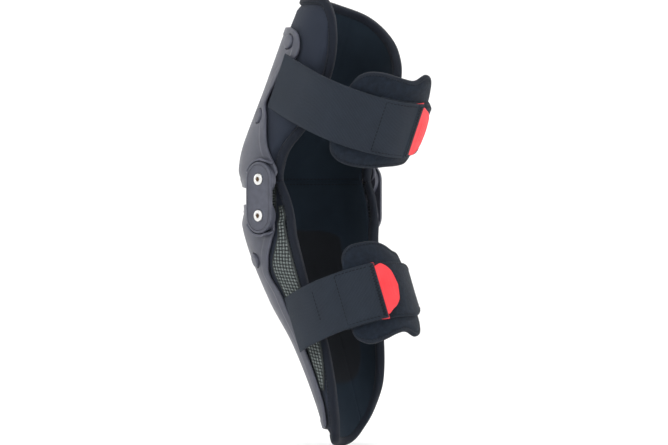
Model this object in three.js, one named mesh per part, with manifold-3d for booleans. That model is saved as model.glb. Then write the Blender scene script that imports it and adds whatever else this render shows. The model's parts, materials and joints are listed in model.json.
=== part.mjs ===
// A hinged knee guard for a motorcycle rider, modelled at the left knee in millimetres.
// +X is the outer side of the leg, -Y is the front of the knee and +Z runs up the thigh.
// The origin is the knee centre, midway between the two pivots of each side hinge.
import * as THREE from "three";
import { mergeVertices } from "three/addons/utils/BufferGeometryUtils.js";
import Module from "manifold-3d";

const wasm = await Module();
wasm.setup();

// ---------------------------------------------------------------- driving dimensions
const DEG = Math.PI / 180;

// The leg form that every layer follows.
const THIGH_LENGTH = 190; // knee centre up to the end of the thigh form
const SHIN_LENGTH = 236; // knee centre down to the end of the shin form
const KNEE_HALF_WIDTH = 56; // half width at the knee
const KNEE_FRONT = 48; // depth ahead of the widest line, at the knee
const KNEE_REAR = 100; // depth behind the widest line, at the knee

// Layers, from the leg outwards.
const LINER_THICKNESS = 1.7;
const LAYER_GAP = 0.6;
const PAD_THICKNESS = 7.4;
const SHELL_CLEARANCE = 1.3;
const SHELL_WALL = 3;
const KNEE_BULGE = 4; // extra stand-off of the shell over the kneecap
const BULGE_HEIGHT = 38; // height of the middle of that bulge
const BULGE_SPREAD = 30;
const MESH_THICKNESS = 0.7;
const GUSSET_THICKNESS = 4.6;

// Edges of the panels and shells at the knee, measured from the knee centre.
const PIVOT_HEIGHT = 17; // each pivot, above and below the knee centre
const PAD_STANDOFF = 5; // padded panels stop this far beyond the pivots
const THIGH_SHELL_EDGE = 12;
const SHIN_SHELL_EDGE = 7;
const GUSSET_HALF_HEIGHT = 14;
const GUSSET_REACH = 100; // degrees each side of the front
const BINDING_SHARE = 0.024; // width of the bound edge, as a share of its panel
const GAP_SHARE = 0.006; // between the bound edge and the pad inside it

// Hinge hardware. Radii are given for each piece; clearances are named once.
const FIT = 0.3; // gap between pieces that touch
const LUG_RADIUS = 15;
const LUG_RISE = 2.6; // lug face above the shell's side
const LUG_DEPTH = 5; // lug, including what is buried in the shell
const PLATE_RADIUS = 16.5;
const PLATE_THICKNESS = 3;
const PLATE_CLEARANCE = 0.5; // between a plate and the lugs it turns on
const RIM_WALL = 2; // raised rim round each end of the plate
const RIM_CLEARANCE = 1;
const RIM_RISE = 2.4; // rim above the lug face
const RIM_ENDS = [50, 170]; // degrees round the pivot from straight back, over its outer end
const SCREW_HEAD_RADIUS = 5.5;
const SCREW_HEAD_HEIGHT = 2;
const SCREW_RADIUS = 1.8;
const RECESS_DEPTH = 1.2; // of each screw head in its plate
const SOCKET_RADIUS = 2.2;
const SOCKET_DEPTH = 1.3;
const NUT_BORE = 2.1;
const NUT_BARREL_RADIUS = 2.9;
const NUT_FLANGE_RADIUS = 7.5;
const NUT_FLANGE_THICKNESS = 2;
const BUSH_WALL = 1.4;
const RIVET_HEAD_RADIUS = 6.75;
const RIVET_HEAD_HEIGHT = 1.8;
const RIVET_RADIUS = 2.5;
const RIVET_SEATING = 0.5; // head above the shell, whose face curves away under it

// Straps, bands and back pads.
const STRAP_WIDTH = 54;
const STRAP_THICKNESS = 1.8;
const HOOK_THICKNESS = 1;
const HOOK_LENGTH = 34; // degrees of the loop
const HOOK_INSET = 4; // from the strap's edges
const ROOT_GAP = 1.5; // degrees between the shell's side and the start of a strap or band
const BACK_PAD_THICKNESS = 6.5;
const TAB_LENGTH = 18; // degrees of the loop
const TAB_HALF_HEIGHT = 23;

// Each row of the leg form: height as a share of the thigh (+) or shin (-) length, setback of the
// widest line behind the knee axis in mm, then half width, front depth and rear depth as shares of
// the knee's own.
const LEG_FORM = [
  [-1.0, 67, 0.43, 0.38, 0.24],
  [-0.8, 52.5, 0.5, 0.46, 0.24],
  [-0.58, 33.7, 0.64, 0.6, 0.32],
  [-0.41, 14.3, 0.79, 0.75, 0.46],
  [-0.17, -3.5, 0.96, 0.96, 0.72],
  [0, -9, 1, 1, 1],
  [0.24, -2, 1, 1.04, 0.6],
  [0.59, 27.5, 0.96, 1, 0.54],
  [1.0, 57, 0.8, 0.87, 0.42],
];

// ---------------------------------------------------------------- derived sizes
const PAD_INNER = LINER_THICKNESS + LAYER_GAP;
const PAD_OUTER = PAD_INNER + PAD_THICKNESS;
const SHELL_INNER = PAD_OUTER + SHELL_CLEARANCE;
const SHELL_OUTER = SHELL_INNER + SHELL_WALL;
const PAD_EDGE = PIVOT_HEIGHT + PAD_STANDOFF;
const SHELL_SIDE = KNEE_HALF_WIDTH + SHELL_OUTER; // the shell's widest point, at the knee
const LUG_FACE = SHELL_SIDE + LUG_RISE;
const PLATE_INNER = LUG_FACE + PLATE_CLEARANCE;
const PLATE_OUTER = PLATE_INNER + PLATE_THICKNESS;
const RECESS_FACE = PLATE_OUTER - RECESS_DEPTH;
const NUT_FACE = LUG_FACE - LUG_DEPTH - FIT;
const NUT_SHOULDER = NUT_FACE + NUT_FLANGE_THICKNESS;
const NUT_POCKET_FACE = NUT_SHOULDER + 2 * FIT;
const BUSH_BORE = NUT_BARREL_RADIUS + FIT;
const BUSH_RADIUS = BUSH_BORE + BUSH_WALL;

// How far back the thigh and the shin lean over their whole lengths, as the loops see them.
const THIGH_LEAN = 86.6;
const SHIN_LEAN = 96.8;

// The loops that the straps run on, in planes square to the thigh and the shin: two half ellipses
// on one widest line. root is the angle from the front at which a strap leaves its shell, and end
// the angle at which it stops.
const UPPER_LOOP = {
  back: 50,
  height: 0.4947 * THIGH_LENGTH,
  tilt: -Math.atan2(THIGH_LEAN, THIGH_LENGTH),
  halfWidth: SHELL_SIDE - 1,
  frontDepth: 160,
  depth: 81,
  root: 75.5,
  end: 186,
};
const LOWER_LOOP = {
  back: 48,
  height: -0.4661 * SHIN_LENGTH,
  tilt: Math.atan2(SHIN_LEAN, SHIN_LENGTH),
  halfWidth: 0.9 * KNEE_HALF_WIDTH + SHELL_OUTER - 5.4,
  frontDepth: 69,
  depth: 69,
  root: 69,
  end: 157,
};

// ---------------------------------------------------------------- leg form
const rowHeight = (row) => row[0] * (row[0] < 0 ? SHIN_LENGTH : THIGH_LENGTH);
const onThigh = (share) => share * THIGH_LENGTH;
const onShin = (share) => -share * SHIN_LENGTH;

// Slope of one column of the leg form at row i.
function slope(i, column) {
  const before = LEG_FORM[Math.max(i - 1, 0)];
  const after = LEG_FORM[Math.min(i + 1, LEG_FORM.length - 1)];
  return (after[column] - before[column]) / (rowHeight(after) - rowHeight(before));
}

// One column of the leg form at a height, by cubic Hermite interpolation between rows.
function formAt(z, column) {
  let i = 0;
  while (i < LEG_FORM.length - 2 && z > rowHeight(LEG_FORM[i + 1])) i += 1;
  const step = rowHeight(LEG_FORM[i + 1]) - rowHeight(LEG_FORM[i]);
  const u = THREE.MathUtils.clamp((z - rowHeight(LEG_FORM[i])) / step, 0, 1);
  const rise = u * u * (3 - 2 * u);
  const start = LEG_FORM[i][column] * (1 - rise) + u * (1 - u) ** 2 * step * slope(i, column);
  const end = LEG_FORM[i + 1][column] * rise - u * u * (1 - u) * step * slope(i + 1, column);
  return start + end;
}

// A point at an angle round the leg (0 at the front, + towards +X), a height and a stand-off.
function legPoint(angle, z, offset) {
  const width = KNEE_HALF_WIDTH * formAt(z, 2);
  const front = KNEE_FRONT * formAt(z, 3);
  const rear = KNEE_REAR * formAt(z, 4);
  const depth = Math.abs(angle) <= 90 ? front : rear;
  const sin = Math.sin(angle * DEG);
  const cos = Math.cos(angle * DEG);
  const normal = new THREE.Vector2(sin / width, -cos / depth).setLength(offset);
  return new THREE.Vector3(width * sin + normal.x, formAt(z, 1) - depth * cos + normal.y, z);
}

// ---------------------------------------------------------------- solids
function solidOf(geometry) {
  const bare = geometry.clone();
  bare.deleteAttribute("normal");
  bare.deleteAttribute("uv");
  const merged = mergeVertices(bare, 1e-4);
  const vertProperties = new Float32Array(merged.attributes.position.array);
  const triVerts = new Uint32Array(merged.index.array);
  return new wasm.Manifold(new wasm.Mesh({ numProp: 3, vertProperties, triVerts }));
}

function geometryOf(solid) {
  const { vertProperties, triVerts } = solid.getMesh();
  const geometry = new THREE.BufferGeometry();
  geometry.setAttribute("position", new THREE.BufferAttribute(vertProperties, 3));
  geometry.setIndex(new THREE.BufferAttribute(triVerts, 1));
  const flat = geometry.toNonIndexed();
  flat.computeVertexNormals();
  return flat;
}

const joined = (...geometries) => geometryOf(geometries.map(solidOf).reduce((a, b) => a.add(b)));

const cut = (geometry, tools) =>
  geometryOf(tools.map(solidOf).reduce((left, tool) => left.subtract(tool), solidOf(geometry)));

// A closed slab over a grid: point(u, v, side) gives its inner (side 0) and outer (side 1) faces.
function slab(columns, rows, point) {
  const positions = [];
  for (const side of [0, 1]) {
    for (let j = 0; j <= rows; j += 1) {
      for (let i = 0; i <= columns; i += 1) {
        positions.push(...point(i / columns, j / rows, side).toArray());
      }
    }
  }
  const at = (i, j, side) => (side * (rows + 1) + j) * (columns + 1) + i;
  const faces = [];
  const quad = (a, b, c, d) => faces.push(a, b, c, a, c, d);
  for (let j = 0; j < rows; j += 1) {
    for (let i = 0; i < columns; i += 1) {
      quad(at(i, j, 1), at(i + 1, j, 1), at(i + 1, j + 1, 1), at(i, j + 1, 1));
      quad(at(i, j, 0), at(i, j + 1, 0), at(i + 1, j + 1, 0), at(i + 1, j, 0));
    }
    quad(at(0, j, 1), at(0, j + 1, 1), at(0, j + 1, 0), at(0, j, 0));
    quad(at(columns, j, 0), at(columns, j + 1, 0), at(columns, j + 1, 1), at(columns, j, 1));
  }
  for (let i = 0; i < columns; i += 1) {
    quad(at(i, 0, 0), at(i + 1, 0, 0), at(i + 1, 0, 1), at(i, 0, 1));
    quad(at(i, rows, 1), at(i + 1, rows, 1), at(i + 1, rows, 0), at(i, rows, 0));
  }
  const geometry = new THREE.BufferGeometry();
  geometry.setAttribute("position", new THREE.Float32BufferAttribute(positions, 3));
  geometry.setIndex(faces);
  if (solidOf(geometry).volume() < 0) geometry.setIndex(faces.reverse());
  return geometryOf(solidOf(geometry));
}

// An extrusion along X of a shape drawn in the YZ plane, from x = near to x = far.
function extrudedAlongX(shape, near, far, curveSegments = 12) {
  const geometry = new THREE.ExtrudeGeometry(shape, {
    depth: Math.abs(far - near),
    bevelEnabled: false,
    curveSegments,
  });
  const axes = new THREE.Matrix4().makeBasis(
    new THREE.Vector3(0, 1, 0),
    new THREE.Vector3(0, 0, 1),
    new THREE.Vector3(1, 0, 0),
  );
  return geometry.applyMatrix4(axes).translate(Math.min(near, far), 0, 0);
}

function rodAlongX(radius, near, far, z, segments = 24) {
  const geometry = new THREE.CylinderGeometry(radius, radius, Math.abs(far - near), segments);
  return geometry.rotateZ(Math.PI / 2).translate((near + far) / 2, 0, z);
}

// A turned piece whose profile is [radius, station] pairs, with its stations along +X.
function turned(profile, segments = 16) {
  const points = profile.map(([radius, station]) => new THREE.Vector2(radius, station));
  return new THREE.LatheGeometry(points, segments).rotateZ(-Math.PI / 2);
}

// ---------------------------------------------------------------- scene helpers
const FINISHES = {
  shell: { color: 0x4b4d55, roughness: 0.5, metalness: 0 },
  plate: { color: 0x474950, roughness: 0.5, metalness: 0 },
  steel: { color: 0xd8d8d6, roughness: 0.3, metalness: 1 },
  bronze: { color: 0x8a7a55, roughness: 0.5, metalness: 1 },
  textile: { color: 0x24262f, roughness: 0.9, metalness: 0 },
  liner: { color: 0x14171c, roughness: 0.95, metalness: 0 },
  binding: { color: 0x262934, roughness: 0.85, metalness: 0 },
  mesh: { color: 0x6f7675, roughness: 0.8, metalness: 0 },
  foam: { color: 0x3a3c40, roughness: 0.9, metalness: 0 },
  webbing: { color: 0x31343d, roughness: 0.85, metalness: 0 },
  brushed: { color: 0x1f2128, roughness: 1, metalness: 0 },
  red: { color: 0xf04048, roughness: 0.5, metalness: 0 },
};

const guard = new THREE.Group();

function add(name, geometry, finish, parent = guard) {
  const mesh = new THREE.Mesh(geometry, new THREE.MeshStandardMaterial(FINISHES[finish]));
  mesh.name = name;
  parent.add(mesh);
  return mesh;
}

// ---------------------------------------------------------------- panels and shells
// A panel's outline is four curves of [angle, height] points: its knee edge, its far (inner-leg)
// and near (outer-leg) sides, and its end. A Coons patch fills it.
function panelMap({ knee, end, far, near }) {
  const curve = (points) =>
    new THREE.SplineCurve(points.map(([angle, z]) => new THREE.Vector2(angle, z)));
  const [kneeCurve, endCurve, farCurve, nearCurve] = [knee, end, far, near].map(curve);
  return (u, v) => {
    const across = kneeCurve.getPointAt(u).lerp(endCurve.getPointAt(u), v);
    const along = farCurve.getPointAt(v).lerp(nearCurve.getPointAt(v), u);
    const kneeCorners = kneeCurve.getPointAt(0).lerp(kneeCurve.getPointAt(1), u);
    const endCorners = endCurve.getPointAt(0).lerp(endCurve.getPointAt(1), u);
    return across.add(along).sub(kneeCorners.lerp(endCorners, v));
  };
}

const mirrored = (points) => points.map(([angle, z]) => [-angle, z]);

const THIGH_PANEL = panelMap({
  knee: [[-105, PAD_EDGE], [0, PAD_EDGE], [105, PAD_EDGE]],
  far: [
    [-105, PAD_EDGE], [-112, onThigh(0.23)], [-125, onThigh(0.36)], [-130, onThigh(0.5)],
    [-128, onThigh(0.6)], [-120, onThigh(0.67)],
  ],
  near: [
    [105, PAD_EDGE], [112, onThigh(0.23)], [125, onThigh(0.36)], [130, onThigh(0.6)],
    [127, onThigh(0.75)], [119, onThigh(0.87)],
  ],
  end: [
    [-120, onThigh(0.67)], [-97, onThigh(0.79)], [-63, onThigh(0.905)], [-30, onThigh(0.96)],
    [0, onThigh(0.985)], [60, onThigh(0.985)], [95, onThigh(0.978)], [108, onThigh(0.942)],
    [119, onThigh(0.87)],
  ],
});

const SHIN_PANEL = panelMap({
  knee: [[-113, -PAD_EDGE], [0, -PAD_EDGE], [113, -PAD_EDGE]],
  far: [
    [-113, -PAD_EDGE], [-118, onShin(0.25)], [-122, onShin(0.42)], [-121, onShin(0.57)],
    [-105, onShin(0.72)], [-84, onShin(0.81)], [-62, onShin(0.885)],
  ],
  near: [
    [113, -PAD_EDGE], [118, onShin(0.25)], [120, onShin(0.42)], [120, onShin(0.57)],
    [112, onShin(0.72)], [103, onShin(0.81)], [92, onShin(0.9)],
  ],
  end: [
    [-62, onShin(0.885)], [-30, onShin(0.955)], [0, onShin(0.985)], [40, onShin(0.98)],
    [70, onShin(0.962)], [92, onShin(0.9)],
  ],
});

const THIGH_SHELL_SIDE = [
  [98, PIVOT_HEIGHT - 4], [104, PIVOT_HEIGHT + 9], [93, onThigh(0.26)], [82, onThigh(0.39)],
  [72, onThigh(0.47)], [75, onThigh(0.55)], [80, onThigh(0.635)], [91, onThigh(0.67)],
  [93, onThigh(0.72)], [89, onThigh(0.77)], [81, onThigh(0.81)], [70, onThigh(0.83)],
];
const SHIN_SHELL_SIDE = [
  [98, 5 - PIVOT_HEIGHT], [101, -11 - PIVOT_HEIGHT], [96, onShin(0.18)], [87, onShin(0.26)],
  [83, onShin(0.31)], [89, onShin(0.39)], [88, onShin(0.5)], [85, onShin(0.61)],
  [82, onShin(0.81)], [72, onShin(0.9)],
];
// The inner-leg side is the same down to the calf, and is then cut back to stay in front of the
// pad's rounded corner.
const SHIN_SHELL_CUT_SIDE = [
  ...mirrored(SHIN_SHELL_SIDE.slice(0, 7)), [-80, onShin(0.61)], [-66, onShin(0.75)],
  [-46, onShin(0.875)],
];

const THIGH_SHELL = panelMap({
  knee: [
    [-98, PIVOT_HEIGHT - 4], [-70, THIGH_SHELL_EDGE - 2], [0, THIGH_SHELL_EDGE],
    [70, THIGH_SHELL_EDGE - 2], [98, PIVOT_HEIGHT - 4],
  ],
  far: mirrored(THIGH_SHELL_SIDE),
  near: THIGH_SHELL_SIDE,
  end: [
    [-70, onThigh(0.83)], [-35, onThigh(0.843)], [0, onThigh(0.847)], [35, onThigh(0.843)],
    [70, onThigh(0.83)],
  ],
});

const SHIN_SHELL = panelMap({
  knee: [
    [-98, 5 - PIVOT_HEIGHT], [-60, -SHIN_SHELL_EDGE], [0, -SHIN_SHELL_EDGE],
    [60, -SHIN_SHELL_EDGE], [98, 5 - PIVOT_HEIGHT],
  ],
  far: SHIN_SHELL_CUT_SIDE,
  near: SHIN_SHELL_SIDE,
  end: [
    [-46, onShin(0.875)], [-25, onShin(0.91)], [0, onShin(0.92)], [35, onShin(0.915)],
    [72, onShin(0.9)],
  ],
});

// Extra stand-off of the thigh shell over the kneecap.
function kneeBulge(angle, z) {
  const height = Math.exp(-(((z - BULGE_HEIGHT) / BULGE_SPREAD) ** 2));
  return KNEE_BULGE * height * Math.max(Math.cos(angle * DEG), 0) ** 2;
}

// A layer over part of a panel: u and v ranges as shares, and two stand-offs.
function layer(map, columns, rows, [u0, u1], [v0, v1], inner, outer, bulge = () => 0) {
  return slab(columns, rows, (u, v, side) => {
    const { x: angle, y: z } = map(u0 + (u1 - u0) * u, v0 + (v1 - v0) * v);
    return legPoint(angle, z, (side ? outer : inner) + bulge(angle, z));
  });
}

const EDGE = BINDING_SHARE + GAP_SHARE;
const ACROSS = [EDGE, 1 - EDGE];
const ALONG = [0, 1 - EDGE];
const PANEL_COLUMNS = 18;
const PANEL_ROWS = 8;

// Binding tape: up one side of a panel, across its end and down the other side, on the same grid
// lines as the pad inside it.
function bindingTape(map) {
  const total = PANEL_COLUMNS + 2 * PANEL_ROWS;
  return slab(total, 1, (along, v, side) => {
    const step = Math.round(along * total);
    const u0 = THREE.MathUtils.clamp((step - PANEL_ROWS) / PANEL_COLUMNS, 0, 1);
    const v0 = Math.min(step, total - step, PANEL_ROWS) / PANEL_ROWS;
    const inset = v * BINDING_SHARE;
    const { x: angle, y: z } = map(inset + u0 * (1 - 2 * inset), v0 * (1 - inset));
    return legPoint(angle, z, side ? PAD_OUTER - 1 : LINER_THICKNESS);
  });
}

// A rectangular patch of the leg form, [low, high] in angle and height.
const patch = (angles, heights, columns, rows, inner, outer) =>
  slab(columns, rows, (u, v, side) =>
    legPoint(
      THREE.MathUtils.lerp(...angles, u),
      THREE.MathUtils.lerp(...heights, v),
      side ? outer : inner,
    ),
  );

// A padded panel with a window, and the impact pad that fills the window.
function paddedPanel(name, impactName, map, angle, heights) {
  const grown = [heights[0] - 1, heights[1] + 1];
  const window = patch([-angle - 1, angle + 1], grown, 8, 6, 0, SHELL_INNER);
  const pad = layer(map, PANEL_COLUMNS, PANEL_ROWS, ACROSS, ALONG, PAD_INNER, PAD_OUTER);
  add(name, cut(pad, [window]), "textile");
  const core = patch([-angle, angle], heights, 8, 6, PAD_INNER, PAD_OUTER);
  add(impactName, core, "foam");
}

// ---------------------------------------------------------------- rivets
// Where a rivet sits: the point of the shell's outer face under its head, and the turn that takes
// +X to the face's outward normal.
function rivetSeat(angle, z) {
  const seat = legPoint(angle, z, SHELL_OUTER);
  const round = legPoint(angle + 1, z, SHELL_OUTER).sub(legPoint(angle - 1, z, SHELL_OUTER));
  const up = legPoint(angle, z + 1, SHELL_OUTER).sub(legPoint(angle, z - 1, SHELL_OUTER));
  const outward = round.cross(up).normalize();
  const turn = new THREE.Quaternion().setFromUnitVectors(new THREE.Vector3(1, 0, 0), outward);
  return { seat, turn };
}

// A rivet through the shell: its head outside, its shank almost down to the pad.
function addRivet(name, angle, z) {
  const { seat, turn } = rivetSeat(angle, z);
  const foot = FIT - SHELL_WALL - SHELL_CLEARANCE / 2;
  const head = RIVET_SEATING + RIVET_HEAD_HEIGHT;
  const profile = [
    [0, foot], [RIVET_RADIUS, foot], [RIVET_RADIUS, RIVET_SEATING],
    [RIVET_HEAD_RADIUS, RIVET_SEATING], [RIVET_HEAD_RADIUS - 0.6, head - 0.5],
    [RIVET_HEAD_RADIUS / 2, head], [0, head],
  ];
  const rivet = add(name, turned(profile, 12), "plate");
  rivet.position.copy(seat);
  rivet.quaternion.copy(turn);
}

function rivetHole(angle, z) {
  const { seat, turn } = rivetSeat(angle, z);
  const hole = rodAlongX(RIVET_RADIUS + FIT, -2 * SHELL_WALL, SHELL_WALL, 0, 12);
  return hole.applyQuaternion(turn).translate(...seat);
}

// ---------------------------------------------------------------- shells with their hinge lugs
// A rim round the outer end of the hinge plate, buried in the shell under it.
function plateRim(side, up) {
  const inner = PLATE_RADIUS + RIM_CLEARANCE;
  const outer = inner + RIM_WALL;
  const [from, to] = RIM_ENDS.map((angle) => up * angle * DEG).sort((a, b) => a - b);
  const shape = new THREE.Shape();
  shape.absarc(0, 0, outer, from, to, false);
  shape.absarc(0, 0, inner, to, from, true);
  const height = up * PIVOT_HEIGHT;
  const root = legPoint(90, height + up * outer, SHELL_OUTER).x - SHELL_WALL / 2;
  return extrudedAlongX(shape, side * root, side * (LUG_FACE + RIM_RISE), 14).translate(0, 0, height);
}

function shellWithLugs(body, up, rivets) {
  const lugs = [];
  const holes = [];
  const height = up * PIVOT_HEIGHT;
  for (const side of [1, -1]) {
    lugs.push(rodAlongX(LUG_RADIUS, side * (LUG_FACE - LUG_DEPTH), side * LUG_FACE, height, 32));
    lugs.push(plateRim(side, up));
    const pocket = [side * (SHELL_SIDE - 12), side * NUT_POCKET_FACE];
    holes.push(rodAlongX(NUT_FLANGE_RADIUS + 1, ...pocket, height));
    holes.push(rodAlongX(BUSH_RADIUS + FIT, side * (SHELL_SIDE - 2), side * (LUG_FACE + 1), height));
    for (const [angle, z] of rivets) holes.push(rivetHole(side * angle, z));
  }
  return cut(joined(body, ...lugs), holes);
}

const THIGH_RIVETS = [[70, onThigh(0.405)], [77, onThigh(0.763)]];
const SHIN_RIVETS = [[69, onShin(0.25)]];

const thighBody = layer(THIGH_SHELL, 24, 13, [0, 1], [0, 1], SHELL_INNER, SHELL_OUTER, kneeBulge);
const shinBody = layer(SHIN_SHELL, 22, 12, [0, 1], [0, 1], SHELL_INNER, SHELL_OUTER);
add("thigh_shell", shellWithLugs(thighBody, 1, THIGH_RIVETS), "shell");
add("shin_shell", shellWithLugs(shinBody, -1, SHIN_RIVETS), "shell");

for (const [side, word] of [[1, "left"], [-1, "right"]]) {
  THIGH_RIVETS.forEach(([angle, z], i) => addRivet(`thigh_rivet_${word}_${i + 1}`, side * angle, z));
  SHIN_RIVETS.forEach(([angle, z]) => addRivet(`shin_rivet_${word}`, side * angle, z));
}

// ---------------------------------------------------------------- textile layers
paddedPanel("thigh_pad", "knee_impact_pad", THIGH_PANEL, 42, [PAD_EDGE + 6, onThigh(0.45)]);
paddedPanel("shin_pad", "shin_impact_pad", SHIN_PANEL, 48, [onShin(0.78), -PAD_EDGE - 14]);
for (const [name, map] of [["thigh_liner", THIGH_PANEL], ["shin_liner", SHIN_PANEL]]) {
  add(name, layer(map, PANEL_COLUMNS, PANEL_ROWS, ACROSS, ALONG, 0, LINER_THICKNESS), "liner");
}
add("thigh_binding", bindingTape(THIGH_PANEL), "binding");
add("shin_binding", bindingTape(SHIN_PANEL), "binding");

const gussetAngles = [-GUSSET_REACH, GUSSET_REACH];
const gussetHeights = [-GUSSET_HALF_HEIGHT, GUSSET_HALF_HEIGHT];
const gussetOuter = PAD_INNER + GUSSET_THICKNESS;
add("knee_gusset", patch(gussetAngles, gussetHeights, 20, 2, PAD_INNER, gussetOuter), "mesh");

// Mesh facing beside the shin shell, from just behind the shell's edge to the binding.
const MESH_INNER = PAD_OUTER + FIT;
for (const [side, word] of [[1, "left"], [-1, "right"]]) {
  const shellEdge = [
    [103, onShin(0.14)], [98, onShin(0.2)], [90, onShin(0.28)], [92, onShin(0.39)],
    [91, onShin(0.5)], [88, onShin(0.61)], [85, onShin(0.76)],
  ];
  const boundEdge = [
    [109, onShin(0.13)], [112, onShin(0.28)], [113, onShin(0.42)], [113, onShin(0.55)],
    [103, onShin(0.68)], [92, onShin(0.76)],
  ];
  const turnedTo = (points) => (side < 0 ? mirrored(points) : points);
  const narrow = side < 0 ? 0.86 : 1; // the inner-leg panel is cut away lower down
  const facing = panelMap({
    knee: turnedTo([shellEdge[0], boundEdge[0]]),
    end: turnedTo([shellEdge[6], boundEdge[5]]),
    far: turnedTo(shellEdge),
    near: turnedTo(boundEdge),
  });
  const reach = [0, narrow];
  const sheet = layer(facing, 3, 9, [0, 1], reach, MESH_INNER, MESH_INNER + MESH_THICKNESS);
  add(`shin_mesh_${word}`, sheet, "mesh");
}

// ---------------------------------------------------------------- side hinges
function addHinge(word, turn) {
  const hinge = new THREE.Group();
  hinge.rotation.z = turn;
  guard.add(hinge);

  const plate = new THREE.Shape();
  plate.absarc(0, PIVOT_HEIGHT, PLATE_RADIUS, 0, Math.PI, false);
  plate.absarc(0, -PIVOT_HEIGHT, PLATE_RADIUS, Math.PI, 2 * Math.PI, false);
  for (const z of [PIVOT_HEIGHT, -PIVOT_HEIGHT]) {
    const hole = new THREE.Path();
    hole.absarc(0, z, BUSH_BORE + 0.1, 0, 2 * Math.PI, false);
    plate.holes.push(hole);
  }
  const recesses = [PIVOT_HEIGHT, -PIVOT_HEIGHT].map((z) =>
    rodAlongX(SCREW_HEAD_RADIUS + FIT, RECESS_FACE, PLATE_OUTER + 1, z),
  );
  const blank = extrudedAlongX(plate, PLATE_INNER, PLATE_OUTER, 12);
  add(`hinge_plate_${word}`, cut(blank, recesses), "plate", hinge);

  for (const [z, place] of [[PIVOT_HEIGHT, "upper"], [-PIVOT_HEIGHT, "lower"]]) {
    const seat = RECESS_FACE + FIT;
    const top = seat + SCREW_HEAD_HEIGHT;
    const screw = turned([
      [0, NUT_SHOULDER + FIT], [SCREW_RADIUS, NUT_SHOULDER + FIT], [SCREW_RADIUS, seat],
      [SCREW_HEAD_RADIUS, seat], [SCREW_HEAD_RADIUS, top - 1], [SCREW_HEAD_RADIUS - 1, top],
      [SOCKET_RADIUS, top], [SOCKET_RADIUS, top - SOCKET_DEPTH], [0, top - SOCKET_DEPTH],
    ]);
    add(`pivot_screw_${word}_${place}`, screw.translate(0, 0, z), "steel", hinge);
    const barrelEnd = PLATE_INNER + PLATE_THICKNESS / 2;
    const nut = turned([
      [NUT_BORE, NUT_FACE], [NUT_FLANGE_RADIUS, NUT_FACE], [NUT_FLANGE_RADIUS, NUT_SHOULDER],
      [NUT_BARREL_RADIUS, NUT_SHOULDER], [NUT_BARREL_RADIUS, barrelEnd], [NUT_BORE, barrelEnd],
      [NUT_BORE, NUT_FACE],
    ]);
    add(`pivot_nut_${word}_${place}`, nut.translate(0, 0, z), "steel", hinge);
    const bushEnds = [NUT_SHOULDER + FIT, PLATE_INNER - FIT];
    const bush = turned([
      [BUSH_BORE, bushEnds[0]], [BUSH_RADIUS, bushEnds[0]], [BUSH_RADIUS, bushEnds[1]],
      [BUSH_BORE, bushEnds[1]], [BUSH_BORE, bushEnds[0]],
    ]);
    add(`pivot_bush_${word}_${place}`, bush.translate(0, 0, z), "bronze", hinge);
  }
}

addHinge("left", 0);
addHinge("right", Math.PI);

// ---------------------------------------------------------------- straps, bands and back pads
// A point on a loop: angle from the front, stand-off from the loop, and height along its axis.
function loopPoint(loop, angle, offset, height) {
  const sin = Math.sin(angle * DEG);
  const cos = Math.cos(angle * DEG);
  const depth = cos > 0 ? loop.frontDepth : loop.depth;
  const normal = new THREE.Vector2(sin / loop.halfWidth, -cos / depth).setLength(offset);
  return new THREE.Vector3(loop.halfWidth * sin + normal.x, -depth * cos + normal.y, height);
}

// A band round part of a loop, between two angles, two stand-offs and two heights. shift moves it
// outwards along its length.
function band(loop, [from, to], segments, [inner, outer], [low, high], shift = () => 0) {
  return slab(segments, 1, (u, v, side) => {
    const offset = (side ? outer : inner) + shift(u);
    return loopPoint(loop, THREE.MathUtils.lerp(from, to, u), offset, v ? high(u) : low(u));
  });
}

const HOOK_OUTER = -FIT;
const BAND_OUTER = HOOK_OUTER - HOOK_THICKNESS - FIT;
const BAND_INNER = BAND_OUTER - STRAP_THICKNESS;
const BACK_PAD_OUTER = BAND_INNER - 0.5;

function addStrapSet(word, loop, bandEnd, pad) {
  const group = new THREE.Group();
  group.position.set(0, loop.back, loop.height);
  group.rotation.x = loop.tilt;
  guard.add(group);
  const half = STRAP_WIDTH / 2;
  const straight = [() => -half, () => half];

  const strapFaces = [0, STRAP_THICKNESS];
  const strap = band(loop, [loop.root + ROOT_GAP, loop.end], 18, strapFaces, straight);
  add(`${word}_strap`, strap, "webbing", group);

  const hookRange = [loop.end - HOOK_LENGTH, loop.end - 2];
  const hookFaces = [HOOK_OUTER - HOOK_THICKNESS, HOOK_OUTER];
  const hook = band(loop, hookRange, 6, hookFaces, [() => HOOK_INSET - half, () => half - HOOK_INSET]);
  add(`${word}_strap_hook`, hook, "brushed", group);

  const reach = (u) => TAB_HALF_HEIGHT * Math.sqrt(1 - 0.92 * u * u);
  const tabRange = [loop.end + 0.6, loop.end + TAB_LENGTH];
  const tab = band(loop, tabRange, 8, strapFaces, [(u) => -reach(u), reach]);
  add(`${word}_strap_tab`, tab, "red", group);

  // The band runs inside the strap where they overlap, and comes out level with it at its root.
  const comeOut = (u) => -BAND_INNER * THREE.MathUtils.smoothstep(u, 0.55, 0.95);
  const bandRange = [bandEnd, 360 - loop.root - ROOT_GAP];
  const loopBand = band(loop, bandRange, 20, [BAND_INNER, BAND_OUTER], straight, comeOut);
  add(`${word}_loop_band`, loopBand, "webbing", group);

  const padFaces = [BACK_PAD_OUTER - BACK_PAD_THICKNESS, BACK_PAD_OUTER];
  const backPad = band(loop, [pad.from, pad.to], 12, padFaces, [() => pad.low, () => pad.high]);
  add(`${word}_back_pad`, backPad, "brushed", group);
}

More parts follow.
